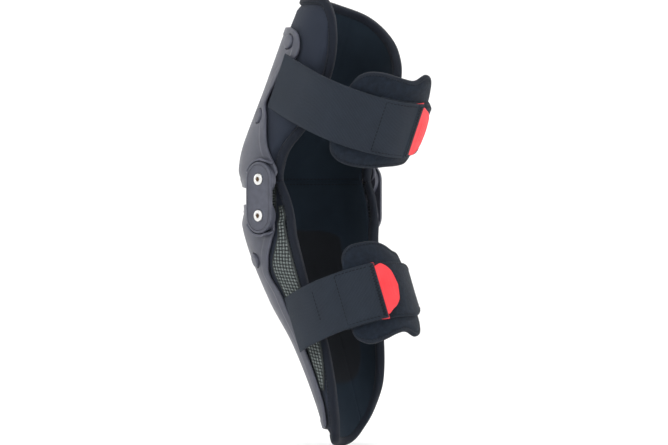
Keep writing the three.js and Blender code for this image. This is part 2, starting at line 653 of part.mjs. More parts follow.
const UPPER_BACK_PAD = { from: 124, to: 212, low: -STRAP_WIDTH / 2 - 11, high: STRAP_WIDTH / 2 + 25 };
const LOWER_BACK_PAD = { from: 124, to: 212, low: -STRAP_WIDTH / 2 - 22, high: STRAP_WIDTH / 2 + 20 };
addStrapSet("upper", UPPER_LOOP, 148, UPPER_BACK_PAD);
addStrapSet("lower", LOWER_LOOP, 120, LOWER_BACK_PAD);

export default guard;
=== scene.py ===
"""Visual model of the hinged knee guard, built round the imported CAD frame."""
import json
import math
import bmesh
import bpy
import numpy as np
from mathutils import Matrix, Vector

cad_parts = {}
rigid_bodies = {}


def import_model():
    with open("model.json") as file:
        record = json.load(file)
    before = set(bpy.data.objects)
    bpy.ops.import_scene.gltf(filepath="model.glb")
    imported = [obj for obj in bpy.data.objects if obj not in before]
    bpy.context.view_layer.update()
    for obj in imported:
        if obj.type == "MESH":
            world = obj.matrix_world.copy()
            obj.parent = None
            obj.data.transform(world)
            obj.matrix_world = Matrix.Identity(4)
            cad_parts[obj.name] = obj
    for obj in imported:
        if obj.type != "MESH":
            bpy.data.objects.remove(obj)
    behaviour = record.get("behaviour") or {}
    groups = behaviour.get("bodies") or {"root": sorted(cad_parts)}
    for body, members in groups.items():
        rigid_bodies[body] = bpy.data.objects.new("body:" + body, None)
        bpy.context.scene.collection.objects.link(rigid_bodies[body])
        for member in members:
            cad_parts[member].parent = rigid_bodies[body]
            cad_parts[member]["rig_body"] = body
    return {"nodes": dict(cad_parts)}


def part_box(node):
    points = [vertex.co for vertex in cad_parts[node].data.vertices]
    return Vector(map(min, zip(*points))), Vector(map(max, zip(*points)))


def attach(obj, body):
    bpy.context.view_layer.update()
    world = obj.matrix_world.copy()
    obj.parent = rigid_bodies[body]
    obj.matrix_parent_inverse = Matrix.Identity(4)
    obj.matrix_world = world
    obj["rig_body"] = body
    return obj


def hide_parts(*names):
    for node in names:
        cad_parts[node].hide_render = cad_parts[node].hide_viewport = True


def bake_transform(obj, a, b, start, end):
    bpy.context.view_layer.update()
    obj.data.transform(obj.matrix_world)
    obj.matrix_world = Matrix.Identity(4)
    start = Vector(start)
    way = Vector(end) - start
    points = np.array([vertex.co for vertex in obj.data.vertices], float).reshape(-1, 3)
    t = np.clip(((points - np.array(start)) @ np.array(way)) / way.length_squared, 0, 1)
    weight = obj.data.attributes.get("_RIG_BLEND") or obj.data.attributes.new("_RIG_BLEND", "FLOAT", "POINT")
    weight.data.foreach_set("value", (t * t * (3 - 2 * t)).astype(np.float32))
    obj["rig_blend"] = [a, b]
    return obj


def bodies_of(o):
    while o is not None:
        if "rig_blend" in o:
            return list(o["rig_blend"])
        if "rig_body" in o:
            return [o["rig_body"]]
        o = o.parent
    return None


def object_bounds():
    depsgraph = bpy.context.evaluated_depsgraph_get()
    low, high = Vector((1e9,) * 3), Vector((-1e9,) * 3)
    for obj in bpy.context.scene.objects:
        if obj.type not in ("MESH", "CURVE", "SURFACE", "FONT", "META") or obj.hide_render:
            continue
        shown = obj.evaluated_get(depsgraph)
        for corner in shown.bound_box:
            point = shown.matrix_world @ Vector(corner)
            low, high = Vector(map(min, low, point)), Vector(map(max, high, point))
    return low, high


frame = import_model()
cad_low, cad_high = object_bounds()
scene = bpy.context.scene

# ---- sizes, in millimetres
MM = 0.001
THIGH = 190.0  # knee centre up to the end of the thigh form
SHIN = 236.0  # knee centre down to the end of the shin form
KNEE_HALF_WIDTH = 56.0
KNEE_FRONT = 48.0
KNEE_REAR = 100.0
# Height as a share of THIGH (+) or SHIN (-), setback in mm, then shares of half width, front, rear.
LEG_FORM = np.array([
    [-1.0, 67, 0.43, 0.38, 0.24],
    [-0.8, 52.5, 0.5, 0.46, 0.24],
    [-0.58, 33.7, 0.64, 0.6, 0.32],
    [-0.41, 14.3, 0.79, 0.75, 0.46],
    [-0.17, -3.5, 0.96, 0.96, 0.72],
    [0, -9, 1, 1, 1],
    [0.24, -2, 1, 1.04, 0.6],
    [0.59, 27.5, 0.96, 1, 0.54],
    [1.0, 57, 0.8, 0.87, 0.42],
])
LEG_FORM[:, 0] *= np.where(LEG_FORM[:, 0] < 0, SHIN, THIGH)

LINER_THICKNESS = 1.7
PAD_INNER = 2.3
PAD_OUTER = 9.7
SHELL_INNER = 11.0
SHELL_OUTER = 14.0
SHELL_SIDE = KNEE_HALF_WIDTH + SHELL_OUTER
PIVOT_HEIGHT = 17.0
PAD_EDGE = 22.0
KNEE_SEAM = 16.0  # height of the seam where the two textile panels meet
SEAM_GAP = 0.1  # each panel stops this far short of it, and its rounded edge closes the seam
THIGH_SEAM = KNEE_SEAM + SEAM_GAP
SHIN_SEAM = KNEE_SEAM - SEAM_GAP
LUG_RADIUS = 15.0
LUG_DEPTH = 5.0
RIM_CENTRE = 18.5  # middle of the raised rim round each end of a plate
RIM_RISE = 2.4
RIVET_RADIUS = 6.75
STRAP_HALF = 27.0
STRAP_THICKNESS = 1.8


def in_mm(node):
    """A CAD node's lowest and highest corners, in millimetres."""
    return [np.array(corner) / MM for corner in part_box(node)]


PLATE_LOW, PLATE_HIGH = in_mm("hinge_plate_left")
PLATE_INNER, PLATE_OUTER, PLATE_RADIUS = PLATE_LOW[0], PLATE_HIGH[0], PLATE_HIGH[1]
SCREW_LOW, SCREW_HIGH = in_mm("pivot_screw_left_upper")
SCREW_TOP = SCREW_HIGH[0]
SCREW_RADIUS = (SCREW_HIGH[1] - SCREW_LOW[1]) / 2
NUT_FACE = in_mm("pivot_nut_left_upper")[0][0]
LUG_FACE = PLATE_INNER - 0.5


# ---- curves and surfaces
def smooth(x):
    x = np.clip(x, 0, 1)
    return x * x * (3 - 2 * x)


def ramp(x, start, end):
    return smooth((np.asarray(x, float) - start) / (end - start))


def hump(x, middle, spread):
    return np.exp(-(((np.asarray(x, float) - middle) / spread) ** 2))


def unit(v):
    return v / np.maximum(np.linalg.norm(v, axis=-1, keepdims=True), 1e-12)


def arc_length(points):
    """Length of a polyline up to each of its points."""
    return np.concatenate([[0], np.cumsum(np.linalg.norm(np.diff(points, axis=0), axis=1))])


def form_at(z, column):
    """One column of the leg form at some heights, by cubic Hermite interpolation."""
    heights, values = LEG_FORM[:, 0], LEG_FORM[:, column]
    i = np.clip(np.searchsorted(heights, z) - 1, 0, len(heights) - 2)
    before, after = np.maximum(i - 1, 0), np.minimum(i + 2, len(heights) - 1)
    step = heights[i + 1] - heights[i]
    u = np.clip((z - heights[i]) / step, 0, 1)
    slope = (values[i + 1] - values[before]) / (heights[i + 1] - heights[before])
    next_slope = (values[after] - values[i]) / (heights[after] - heights[i])
    rise = u * u * (3 - 2 * u)
    start = values[i] * (1 - rise) + u * (1 - u) ** 2 * step * slope
    return start + values[i + 1] * rise - u * u * (1 - u) * step * next_slope


def on_ellipse(angle, width, depth, offset):
    """Points round an ellipse, moved out along its normals by an offset."""
    sin, cos = np.sin(np.radians(angle)), np.cos(np.radians(angle))
    normal = unit(np.stack([sin / width, -cos / depth], -1)) * offset[..., None]
    return width * sin + normal[..., 0], -depth * cos + normal[..., 1]


def leg_point(angle, z, offset):
    """Points round the leg: degrees from the front (+ towards +X), height and stand-off."""
    angle, z, offset = np.broadcast_arrays(*(np.asarray(a, float) for a in (angle, z, offset)))
    front, rear = KNEE_FRONT * form_at(z, 3), KNEE_REAR * form_at(z, 4)
    depth = np.where(np.abs(angle) <= 90, front, rear)
    x, y = on_ellipse(angle, KNEE_HALF_WIDTH * form_at(z, 2), depth, offset)
    return np.stack([x, form_at(z, 1) + y, z], -1)


def leg_normal(angle, z, offset):
    round_leg = leg_point(angle + 0.5, z, offset) - leg_point(angle - 0.5, z, offset)
    up_leg = leg_point(angle, z + 0.5, offset) - leg_point(angle, z - 0.5, offset)
    return unit(np.cross(round_leg, up_leg))


def between(at, places, values):
    """Rows of values, given at places, interpolated at others."""
    return np.stack([np.interp(at, places, column) for column in values.T], -1)


def spline(points):
    """A uniform Catmull-Rom curve through points, as a function of the share of its length."""
    p = np.array(points, float)
    p = np.vstack([p[0], p, p[-1]])
    p[0], p[-1] = 2 * p[1] - p[2], 2 * p[-2] - p[-3]
    t = np.linspace(0, len(p) - 3, 100 * (len(p) - 3) + 1)
    i = np.minimum(t.astype(int), len(p) - 4)
    w = (t - i)[:, None]
    a, b, c, d = p[i], p[i + 1], p[i + 2], p[i + 3]
    at = b + w / 2 * (c - a + w * (2 * a - 5 * b + 4 * c - d + w * (3 * (b - c) + d - a)))
    length = arc_length(at)
    return lambda s: between(s, length / length[-1], at)


def panel_map(knee, end, far, near):
    """A Coons patch between four curves of [angle, height] points."""
    knee, end, far, near = (spline(c) for c in (knee, end, far, near))

    def at(u, v):
        u, v = np.broadcast_arrays(np.asarray(u, float), np.asarray(v, float))
        u1, v1 = u[..., None], v[..., None]
        across = knee(u) * (1 - v1) + end(u) * v1
        along = far(v) * (1 - u1) + near(v) * u1
        corners = (knee(0.0) * (1 - u1) + knee(1.0) * u1) * (1 - v1)
        corners = corners + (end(0.0) * (1 - u1) + end(1.0) * u1) * v1
        return across + along - corners
    return at


def mirrored(points):
    return [[-angle, z] for angle, z in points]


def on_thigh(*pairs):
    return [[angle, share * THIGH] for angle, share in pairs]


def on_shin(*pairs):
    return [[angle, -share * SHIN] for angle, share in pairs]


THIGH_PANEL = panel_map(
    knee=[[-105, PAD_EDGE], [0, PAD_EDGE], [105, PAD_EDGE]],
    far=[[-105, PAD_EDGE]] + on_thigh((-112, 0.23), (-125, 0.36), (-130, 0.5), (-128, 0.6), (-120, 0.67)),
    near=[[105, PAD_EDGE]] + on_thigh((112, 0.23), (125, 0.36), (130, 0.6), (127, 0.75), (119, 0.87)),
    end=on_thigh((-120, 0.67), (-97, 0.79), (-63, 0.905), (-30, 0.96), (0, 0.985), (60, 0.985),
                 (95, 0.978), (108, 0.942), (119, 0.87)),
)
SHIN_PANEL = panel_map(
    knee=[[-113, -PAD_EDGE], [0, -PAD_EDGE], [113, -PAD_EDGE]],
    far=[[-113, -PAD_EDGE]] + on_shin((-118, 0.25), (-122, 0.42), (-121, 0.57), (-105, 0.72),
                                      (-84, 0.81), (-62, 0.885)),
    near=[[113, -PAD_EDGE]] + on_shin((118, 0.25), (120, 0.42), (120, 0.57), (112, 0.72),
                                      (103, 0.81), (92, 0.9)),
    end=on_shin((-62, 0.885), (-30, 0.955), (0, 0.985), (40, 0.98), (70, 0.962), (92, 0.9)),
)
THIGH_SHELL_SIDE = [[98, PIVOT_HEIGHT - 4], [104, PIVOT_HEIGHT + 9]] + on_thigh(
    (93, 0.26), (82, 0.39), (72, 0.47), (75, 0.55), (80, 0.635), (91, 0.67), (93, 0.72), (89, 0.77),
    (81, 0.81), (70, 0.83))
SHIN_SHELL_SIDE = [[98, 5 - PIVOT_HEIGHT], [101, -11 - PIVOT_HEIGHT]] + on_shin(
    (96, 0.18), (87, 0.26), (83, 0.31), (89, 0.39), (88, 0.5), (85, 0.61), (82, 0.81), (72, 0.9))
SHIN_SHELL_CUT_SIDE = mirrored(SHIN_SHELL_SIDE[:7]) + on_shin((-80, 0.61), (-66, 0.75), (-46, 0.875))
THIGH_SHELL = panel_map(
    knee=[[-98, 13], [-70, 10], [0, 12], [70, 10], [98, 13]],
    far=mirrored(THIGH_SHELL_SIDE),
    near=THIGH_SHELL_SIDE,
    end=on_thigh((-70, 0.83), (-35, 0.843), (0, 0.847), (35, 0.843), (70, 0.83)),
)
SHIN_SHELL = panel_map(
    knee=[[-98, -12], [-60, -7], [0, -7], [60, -7], [98, -12]],
    far=SHIN_SHELL_CUT_SIDE,
    near=SHIN_SHELL_SIDE,
    end=on_shin((-46, 0.875), (-25, 0.91), (0, 0.92), (35, 0.915), (72, 0.9)),
)


# ---- materials
class Nodes:
    """A material under construction, with short ways to add and join its nodes."""

    def __init__(self, name):
        self.material = bpy.data.materials.new(name)
        self.material.use_nodes = True
        self.tree = self.material.node_tree
        self.tree.nodes.clear()
        self.shader = self.tree.nodes.new("ShaderNodeBsdfPrincipled")
        output = self.tree.nodes.new("ShaderNodeOutputMaterial")
        self.tree.links.new(self.shader.outputs[0], output.inputs[0])
        self.height = None

    def put(self, socket, value):
        if isinstance(value, bpy.types.NodeSocket):
            self.tree.links.new(value, socket)
        elif value is not None:
            socket.default_value = value

    def add(self, kind, inputs, **settings):
        node = self.tree.nodes.new("ShaderNode" + kind)
        for key, value in settings.items():
            setattr(node, key, value)
        for key, value in inputs.items():
            self.put(node.inputs[key], value)
        return node

    def math(self, operation, a, b=0.0):
        return self.add("Math", {0: a, 1: b}, operation=operation).outputs[0]

    def coordinates(self, output="Object"):
        return self.add("TexCoord", {}).outputs[output]

    def noise(self, scale, detail=3.0, stretch=None):
        vector = self.coordinates()
        if stretch:
            vector = self.add("Mapping", {"Vector": vector, "Scale": stretch}).outputs[0]
        node = self.add("TexNoise", {"Vector": vector, "Scale": scale, "Detail": detail})
        return node.outputs[0]

    def bands(self, period, axis, bend=0.0):
        """Even ribs of a period in metres across one axis of the UV map."""
        inputs = {"Vector": self.coordinates("UV"), "Scale": math.pi / 10 / period, "Distortion": bend}
        return self.add("TexWave", inputs, bands_direction=axis).outputs["Fac"]

    def mix(self, share, a, b):
        node = self.add("Mix", {0: share}, data_type="RGBA")
        self.put(node.inputs[6], a)
        self.put(node.inputs[7], b)
        return node.outputs[2]

    def spread(self, value, low, high):
        node = self.add("MapRange", {"Value": value, "To Min": low, "To Max": high})
        return node.outputs[0]

    def blend(self, a, b, share):
        """Two patterns added together, the first one counting for a share."""
        return self.math("ADD", self.math("MULTIPLY", a, share), self.math("MULTIPLY", b, 1 - share))

    def set(self, name, value):
        self.put(self.shader.inputs[name], value)

    def surface(self, colour, roughness, specular=0.5, sheen=0.0, sheen_roughness=0.5):
        """Sets the shader; the numbers left out are its own defaults."""
        self.set("Base Color", colour)
        self.set("Roughness", roughness)
        self.set("Specular IOR Level", specular)
        self.set("Sheen Weight", sheen)
        self.set("Sheen Roughness", sheen_roughness)

    def bump(self, height, depth):
        inputs = {"Height": height, "Distance": depth, "Normal": self.height}
        self.height = self.add("Bump", inputs).outputs[0]
        self.put(self.shader.inputs["Normal"], self.height)


def rgb(code, share=1.0):
    """A linear colour from a hex code, times a share."""
    channels = [int(code[i:i + 2], 16) / 255 for i in (0, 2, 4)]
    linear = [c / 12.92 if c <= 0.04045 else ((c + 0.055) / 1.055) ** 2.4 for c in channels]
    return (*(c * share for c in linear), 1.0)


def plastic(name, dark, light, roughness):
    """Satin moulded plastic: fine grain, faint flow marks and edges worn a little lighter."""
    n = Nodes(name)
    base = n.mix(n.noise(14, 5), rgb(dark), rgb(light))
    worn = n.spread(n.add("NewGeometry", {}).outputs["Pointiness"], -7.0, 8.0)
    worn = n.math("MULTIPLY", n.math("MINIMUM", n.math("MAXIMUM", worn, 0.0), 1.0), n.noise(160, 4))
    n.surface(n.mix(worn, base, rgb(light, 1.9)),
              n.spread(n.noise(60, 6), roughness - 0.07, roughness + 0.08), 0.4)
    n.bump(n.noise(1500, 2), 0.00003)
    n.bump(n.noise(35, 2, stretch=(1, 1, 0.35)), 0.00012)
    return n.material


def fabric(name, dark, light, roughness, period, depth, sheen=0.05):
    """A plain weave that follows the UV map, over soft mottling."""
    n = Nodes(name)
    weave = n.math("MAXIMUM", n.math("MULTIPLY", n.bands(period, "X"), 0.9), n.bands(period, "Y"))
    mottle = n.noise(45, 6)
    n.surface(n.mix(n.blend(weave, mottle, 0.45), rgb(dark), rgb(light)),
              n.spread(mottle, roughness - 0.08, min(roughness + 0.08, 1.0)), 0.15, sheen, 0.55)
    n.bump(weave, depth)
    n.bump(n.noise(140, 3), depth * 0.7)
    return n.material


def ribbed(name, dark, light, period, depth):
    """Grosgrain tape: ribs across its length with a fine weave over them."""
    n = Nodes(name)
    ribs, fine = n.bands(period, "X", 0.4), n.bands(period * 0.55, "Y", 0.3)
    mottle = n.noise(55, 5)
    n.surface(n.mix(n.blend(ribs, mottle, 0.5), rgb(dark), rgb(light)),
              n.spread(mottle, 0.66, 0.86), 0.18, 0.05)
    n.bump(ribs, depth)
    n.bump(fine, depth * 0.6)
    return n.material


def brushed_loop(name, dark, light):
    """Brushed nylon pile: clumped fuzz with a soft sheen."""
    n = Nodes(name)
    clump, fuzz = n.noise(260, 6), n.noise(1400, 4)
    shade = n.math("MULTIPLY", clump, n.spread(fuzz, 0.5, 1.3))
    n.surface(n.mix(shade, rgb(dark), rgb(light)), n.spread(fuzz, 0.85, 1.0), 0.08, 0.08, 0.6)
    n.bump(clump, 0.0005)
    n.bump(fuzz, 0.00025)
    return n.material


def hooks(name):
    """Moulded hooks, as a cell pattern that stands up, with painted shade on the low ground between them."""
    n = Nodes(name)
    cells = n.add("TexVoronoi", {"Vector": n.coordinates("UV"), "Scale": 900.0}).outputs[0]
    # painted shade: colour runs from grey on the raised hook tops to near black on the low ground between
    # them
    n.surface(n.mix(cells, rgb("3a3c42"), rgb("0e0f12")), n.spread(n.noise(80, 3), 0.5, 0.7))
    n.bump(n.math("SUBTRACT", 1.0, cells), 0.0005)
    return n.material


def open_mesh(name):
    """Coarse basket weave: strands light and the gaps painted near black as painted shade, from the piece's
    own relief.
    """
    n = Nodes(name)
    relief = n.add("Attribute", {}, attribute_name="relief").outputs["Fac"]
    strand = n.mix(n.noise(500, 4), rgb("5c6464"), rgb("8d9694"))
    # painted shade: the lower the relief, the nearer the colour goes to near black, so the gaps and hem look
    # shaded
    n.surface(n.mix(n.math("MULTIPLY", relief, relief), rgb("101214"), strand),
              n.spread(n.noise(300, 2), 0.6, 0.85), 0.2)
    n.bump(n.noise(1300, 3), 0.0001)
    return n.material


def liner_cloth(name):
    """Smooth knitted lining; the inner pad is a little browner, from the piece's own tint."""
    n = Nodes(name)
    tint = n.add("Attribute", {}, attribute_name="tint").outputs["Fac"]
    knit = n.math("MULTIPLY", n.bands(0.0011, "X", 0.8), n.bands(0.0008, "Y", 0.8))
    mottle = n.noise(40, 6)
    shade = n.blend(knit, mottle, 0.4)
    plain, inner_pad = n.mix(shade, rgb("171f28"), rgb("29343f")), n.mix(shade, rgb("1a1c20"), rgb("282b30"))
    n.surface(n.mix(tint, plain, inner_pad), n.spread(mottle, 0.75, 0.95), 0.1, 0.03)
    n.bump(knit, 0.00012)
    n.bump(n.noise(120, 3), 0.0002)
    return n.material


def metal(name, dark, light, roughness, scratches):
    """Bare metal with fine scratches."""
    n = Nodes(name)
    fine = n.noise(scratches, 4, stretch=(1, 1, 6))
    n.surface(n.mix(n.noise(120, 5), rgb(dark), rgb(light)),
              n.spread(fine, roughness - 0.08, roughness + 0.12))
    n.set("Metallic", 1.0)
    n.bump(fine, 0.00002)
    return n.material


def rubber(name, dark, light):
    """Smooth moulded rubber."""
    n = Nodes(name)
    n.surface(n.mix(n.noise(60, 5), rgb(dark), rgb(light)), n.spread(n.noise(200, 3), 0.42, 0.58), 0.3)
    n.bump(n.noise(1200, 2), 0.00004)
    return n.material


def pale_paint(name):
    """The floor's paint, which glows a little, so that the backdrop is as pale as the world."""
    n = Nodes(name)
    n.surface(n.mix(n.noise(3, 4), rgb("f4f4f4"), rgb("fbfbfb")), n.spread(n.noise(8, 3), 0.75, 0.9))
    n.set("Emission Color", (1, 1, 1, 1))
    n.set("Emission Strength", FLOOR_GLOW)
    return n.material


SHELL = plastic("shell_plastic", "30323b", "3c3e48", 0.42)
PLATE = plastic("plate_plastic", "2d2f38", "393b45", 0.38)
TEXTILE = fabric("panel_textile", "191e27", "2b313e", 0.82, 0.0009, 0.00012, 0.06)
BINDING = ribbed("binding_tape", "0e131c", "1c222e", 0.0010, 0.0002)
WEBBING = ribbed("strap_webbing", "141a23", "2c343f", 0.0013, 0.00025)
BRUSHED = brushed_loop("brushed_loop", "0b1016", "212a37")
PIPING = ribbed("pad_piping", "121720", "242b36", 0.0012, 0.0003)
LINER = liner_cloth("liner_knit")
MESH = open_mesh("open_mesh")
HOOK = hooks("hook_patch")
THREAD = fabric("thread", "060910", "101822", 0.7, 0.0004, 0.00005)
STEEL = metal("screw_steel", "c9c9c7", "ededeb", 0.26, 700)
# painted shade: a dark metal for the floor of each hex socket, standing in for the shade in the recess
SOCKET_SHADE = metal("socket_painted_shade", "4a3c30", "7a6552", 0.45, 500)
BRONZE = metal("bush_bronze", "6b5a38", "9a8455", 0.4, 400)
RED = rubber("red_tab_rubber", "e0262f", "f2484e")


# ---- meshes
def new_piece(name, points, faces, material, uv=None, sharp=35.0):
    """A mesh object from points in millimetres, with outward normals and smooth shading."""
    mesh = bpy.data.meshes.new(name)
    mesh.from_pydata((np.asarray(points, float) * MM).tolist(), [], faces)
    if uv is not None:
        loops = np.empty(len(mesh.loops), np.int32)
        mesh.loops.foreach_get("vertex_index", loops)
        layer = mesh.uv_layers.new(name="UVMap")
        layer.data.foreach_set("uv", (np.asarray(uv)[loops] * MM).ravel())
    obj = bpy.data.objects.new(name, mesh)
    scene.collection.objects.link(obj)
    mesh.materials.append(material)
    build = bmesh.new()
    build.from_mesh(mesh)
    bmesh.ops.recalc_face_normals(build, faces=build.faces)
    build.to_mesh(mesh)
    build.free()
    shade(obj, sharp)
    return obj


def shade(obj, sharp=35.0):
    obj.data.shade_smooth()
    obj.data.set_sharp_from_angle(angle=math.radians(sharp))


def grid_uv(points):
    """Flat coordinates in millimetres along the rows and columns of a grid of points."""
    rows, columns = points.shape[:2]
    along = np.zeros((rows, columns)) + arc_length(points[:, columns // 2])[:, None]
    across = np.zeros((rows, columns))
    across[:, 1:] = np.cumsum(np.linalg.norm(np.diff(points, axis=1), axis=2), axis=1)
    across -= across[:, columns // 2][:, None]
    return np.stack([along, across], -1)


def flat_size(grid):
    """Length along the rows and width across them, in metres."""
    return [float(x) for x in np.ptp(grid_uv(grid).reshape(-1, 2), axis=0) * MM]


def sheet_area(grid):
    """Area of a grid of points, in square metres."""
    a, b = np.diff(grid, axis=1)[:-1], np.diff(grid, axis=0)[:, :-1]
    return float(np.linalg.norm(np.cross(a, b), axis=-1).sum()) * MM * MM


def edge_distance(points):
    """Distance of each grid point from the grid's edge, along the surface."""
    uv = grid_uv(points)
    low_side = uv[..., 1] - uv[:, :1, 1]
    high_side = uv[:, -1:, 1] - uv[..., 1]
    rows = np.minimum(uv[..., 0], uv[-1:, :, 0] - uv[..., 0])
    return np.minimum(np.minimum(low_side, high_side), rows)


def slab(name, outer, inner, material, roundness=0.5, loops=4, attributes=None, sharp=35.0):
    """A closed slab between two grids of points, with a rounded edge between them."""
    rows, columns = outer.shape[:2]
    uv = grid_uv(outer)
    border = [(0, j) for j in range(columns - 1)] + [(i, columns - 1) for i in range(rows - 1)]
    border += [(rows - 1, j) for j in range(columns - 1, 0, -1)] + [(i, 0) for i in range(rows - 1, 0, -1)]
    i, j = np.array(border).T
    edge_out, edge_in = outer[i, j], inner[i, j]
    inside = outer[np.clip(i, 1, rows - 2), np.clip(j, 1, columns - 2)]
    through = edge_in - edge_out
    thick = np.linalg.norm(through, axis=1, keepdims=True)
    outward = edge_out - inside
    outward -= unit(through) * np.sum(outward * unit(through), axis=1, keepdims=True)
    outward = unit(outward)
    points = [outer.reshape(-1, 3), inner.reshape(-1, 3)]
    uvs = [uv.reshape(-1, 2), uv.reshape(-1, 2)]
    count = rows * columns
    index = np.arange(count).reshape(rows, columns)
    rings = [index[i, j]]
    for k in range(1, loops + 1):
        t = k / (loops + 1)
        depth = (1 - math.cos(math.pi * t)) / 2
        points.append(edge_out + through * depth + outward * thick * roundness * math.sin(math.pi * t))
        uvs.append(uv[i, j])
        rings.append(2 * count + (k - 1) * len(border) + np.arange(len(border)))
    rings.append(count + index[i, j])
    a, b, c, d = index[:-1, :-1], index[:-1, 1:], index[1:, 1:], index[1:, :-1]
    quads = np.stack([a, b, c, d], -1).reshape(-1, 4)
    faces = [quads, count + quads[:, ::-1]]
    for first, second in zip(rings, rings[1:]):
        faces.append(np.stack([first, np.roll(first, -1), np.roll(second, -1), second], -1)[:, ::-1])
    piece = new_piece(name, np.vstack(points), np.vstack(faces).tolist(), material, np.vstack(uvs), sharp)
    for key, values in (attributes or {}).items():
        flat = values.reshape(-1)
        ring = values[i, j]
        data = np.concatenate([flat, flat] + [ring] * loops).astype(np.float32)
        piece.data.attributes.new(key, "FLOAT", "POINT").data.foreach_set("value", data)
    return piece


def ring_quads(near, far):
    """Faces between two stacks of rings of point numbers."""
    quads = np.stack([near, np.roll(near, -1, axis=1), np.roll(far, -1, axis=1), far], -1)
    return quads.reshape(-1, 4).tolist()


def tube(name, rings, material, closed=False, sharp=35.0):
    """A closed skin over rings of points; its ends are capped unless the rings close on themselves."""
    count, size = rings.shape[:2]
    index = np.arange(count * size).reshape(count, size)
    if closed:
        faces = ring_quads(index, np.roll(index, -1, axis=0))
    else:
        faces = ring_quads(index[:-1], index[1:]) + [index[0].tolist()[::-1], index[-1].tolist()]
    along = arc_length(rings.mean(axis=1))
    around = np.cumsum(np.linalg.norm(rings - np.roll(rings, 1, axis=1), axis=2), axis=1)
    uv = np.stack([np.broadcast_to(along[:, None], (count, size)), around], -1)
    return new_piece(name, rings.reshape(-1, 3), faces, material, uv.reshape(-1, 2), sharp)


def merged(name, groups, material):
    """One piece from many small closed bodies, each given as (points, faces)."""
    points, faces, start = [], [], 0
    for p, f in groups:
        points.append(p)
        faces += [[start + k for k in face] for face in f]
        start += len(p)
    points = np.vstack(points)
    return new_piece(name, points, faces, material, points[:, 1:], sharp=60)


def turned_rings(profile, segments=48, shapes=None):
    """Rings of a turned piece about +X. shapes gives each ring's number of flats, 0 for round."""
    turn = np.linspace(0, 2 * np.pi, segments, endpoint=False)
    rings = []
    for k, (radius, station) in enumerate(profile):
        flats = shapes[k] if shapes else 0
        r = np.full(segments, float(radius))
        if flats:
            sector = 2 * np.pi / flats
            r = r / np.cos((turn % sector) - sector / 2)
        rings.append(np.stack([np.full(segments, station), r * np.cos(turn), r * np.sin(turn)], -1))
    return np.array(rings)


def at_pivot(name, profile, side, up, material, segments=48, shapes=None, sharp=35.0):
    """A piece turned about a pivot, from pairs of radius and distance out from the knee's middle."""
    rings = turned_rings([(radius, side * x) for radius, x in profile], segments, shapes)
    return tube(name, rings + np.array([0, 0, up * PIVOT_HEIGHT]), material, sharp=sharp)


def placed(rings, seat, outward):
    """Turns rings built about +X to an outward direction, at a seat."""
    turn = np.array(Vector((1, 0, 0)).rotation_difference(Vector(outward)).to_matrix())
    return rings @ turn.T + seat


def shape_with(obj, tools, operation):
    """Adds tool pieces to a piece, or cuts them from it, and removes the tools."""
    for tool in tools:
        change = obj.modifiers.new("shape", "BOOLEAN")
        change.object = tool
        change.operation = operation
        change.solver = "MANIFOLD"
    settle(obj)
    for tool in tools:
        bpy.data.objects.remove(tool, do_unlink=True)


def settle(obj):
    """Applies a piece's modifiers to its mesh."""
    bpy.context.view_layer.update()
    evaluated = obj.evaluated_get(bpy.context.evaluated_depsgraph_get())
    mesh = bpy.data.meshes.new_from_object(evaluated)
    obj.modifiers.clear()
    obj.data = mesh


def subdivided(obj):
    obj.modifiers.new("smooth", "SUBSURF").levels = 1
    settle(obj)
    shade(obj, 60)


def finish_piece(obj, node, body=None):
    """Rides a piece on its CAD node's body, in that node's place."""
    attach(obj, body or body_of(node))
    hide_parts(node)


def body_of(node):
    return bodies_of(frame["nodes"][node])[0]


def beside(obj, body):
    """Rides an extra piece, which stands for no CAD node, on a body."""
    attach(obj, body)


# ---- stitching
def stitch_bodies(points, normals, step=3.4, length=2.5, width=0.42, height=0.3):
    """Small rounded stitches along a line of points on a surface."""
    reach = arc_length(points)
    count = max(int(reach[-1] / step), 1)
    at = (np.arange(count) + 0.5) * reach[-1] / count
    centres, ups = between(at, reach, points), unit(between(at, reach, normals))
    ahead = unit(np.gradient(centres, axis=0)) if count > 1 else unit(points[-1:] - points[:1])
    turn = np.linspace(0, 2 * np.pi, 6, endpoint=False)
    index = np.arange(24).reshape(4, 6)
    faces = ring_quads(index[:-1], index[1:]) + [index[0].tolist()[::-1], index[-1].tolist()]
    groups = []
    for centre, up, along in zip(centres, ups, ahead):
        side = unit(np.cross(along, up))
        section = np.outer(np.cos(turn), side * width) + np.outer(np.sin(turn), up * height)
        rings = [centre + along * length * share + section * size
                 for share, size in ((-0.5, 0.45), (-0.3, 1.0), (0.3, 1.0), (0.5, 0.45))]
        groups.append((np.vstack(rings), faces))
    return groups


# ---- camera, lights and floor
VIEW_RIGHT = Vector((-0.695, 0.719, 0))
VIEW_BACK = Vector((0.719, 0.695, 0))
VIEW_DISTANCE = 3.0
VIEW_WIDTH = 0.6346  # metres across the picture, in the plane of the hinges
SENSOR = 36
FLOOR_GLOW = 0.12
FLOOR_FLAT, FLOOR_SWEEP, WALL_HEIGHT = 4200, 800, 4000
target = VIEW_RIGHT * 0.01805 + Vector((0, 0, -0.0233))
camera_data = bpy.data.cameras.new("camera")
camera_data.sensor_width = SENSOR
camera_data.lens = SENSOR * VIEW_DISTANCE / VIEW_WIDTH
camera = bpy.data.objects.new("camera", camera_data)
scene.collection.objects.link(camera)
camera.location = target + VIEW_BACK * VIEW_DISTANCE
camera.rotation_euler = VIEW_BACK.to_track_quat("Z", "Y").to_euler()
scene.camera = camera


def light(name, right, back, up, size, power):
    """A soft square light placed in the camera's own axes, aimed at the guard."""
    data = bpy.data.lights.new(name, "AREA")
    data.size = size
    data.energy = power
    lamp = bpy.data.objects.new(name, data)
    scene.collection.objects.link(lamp)
    place = VIEW_RIGHT * right + VIEW_BACK * back + Vector((0, 0, up))
    lamp.location = place
    lamp.rotation_euler = (place - target).to_track_quat("Z", "Y").to_euler()


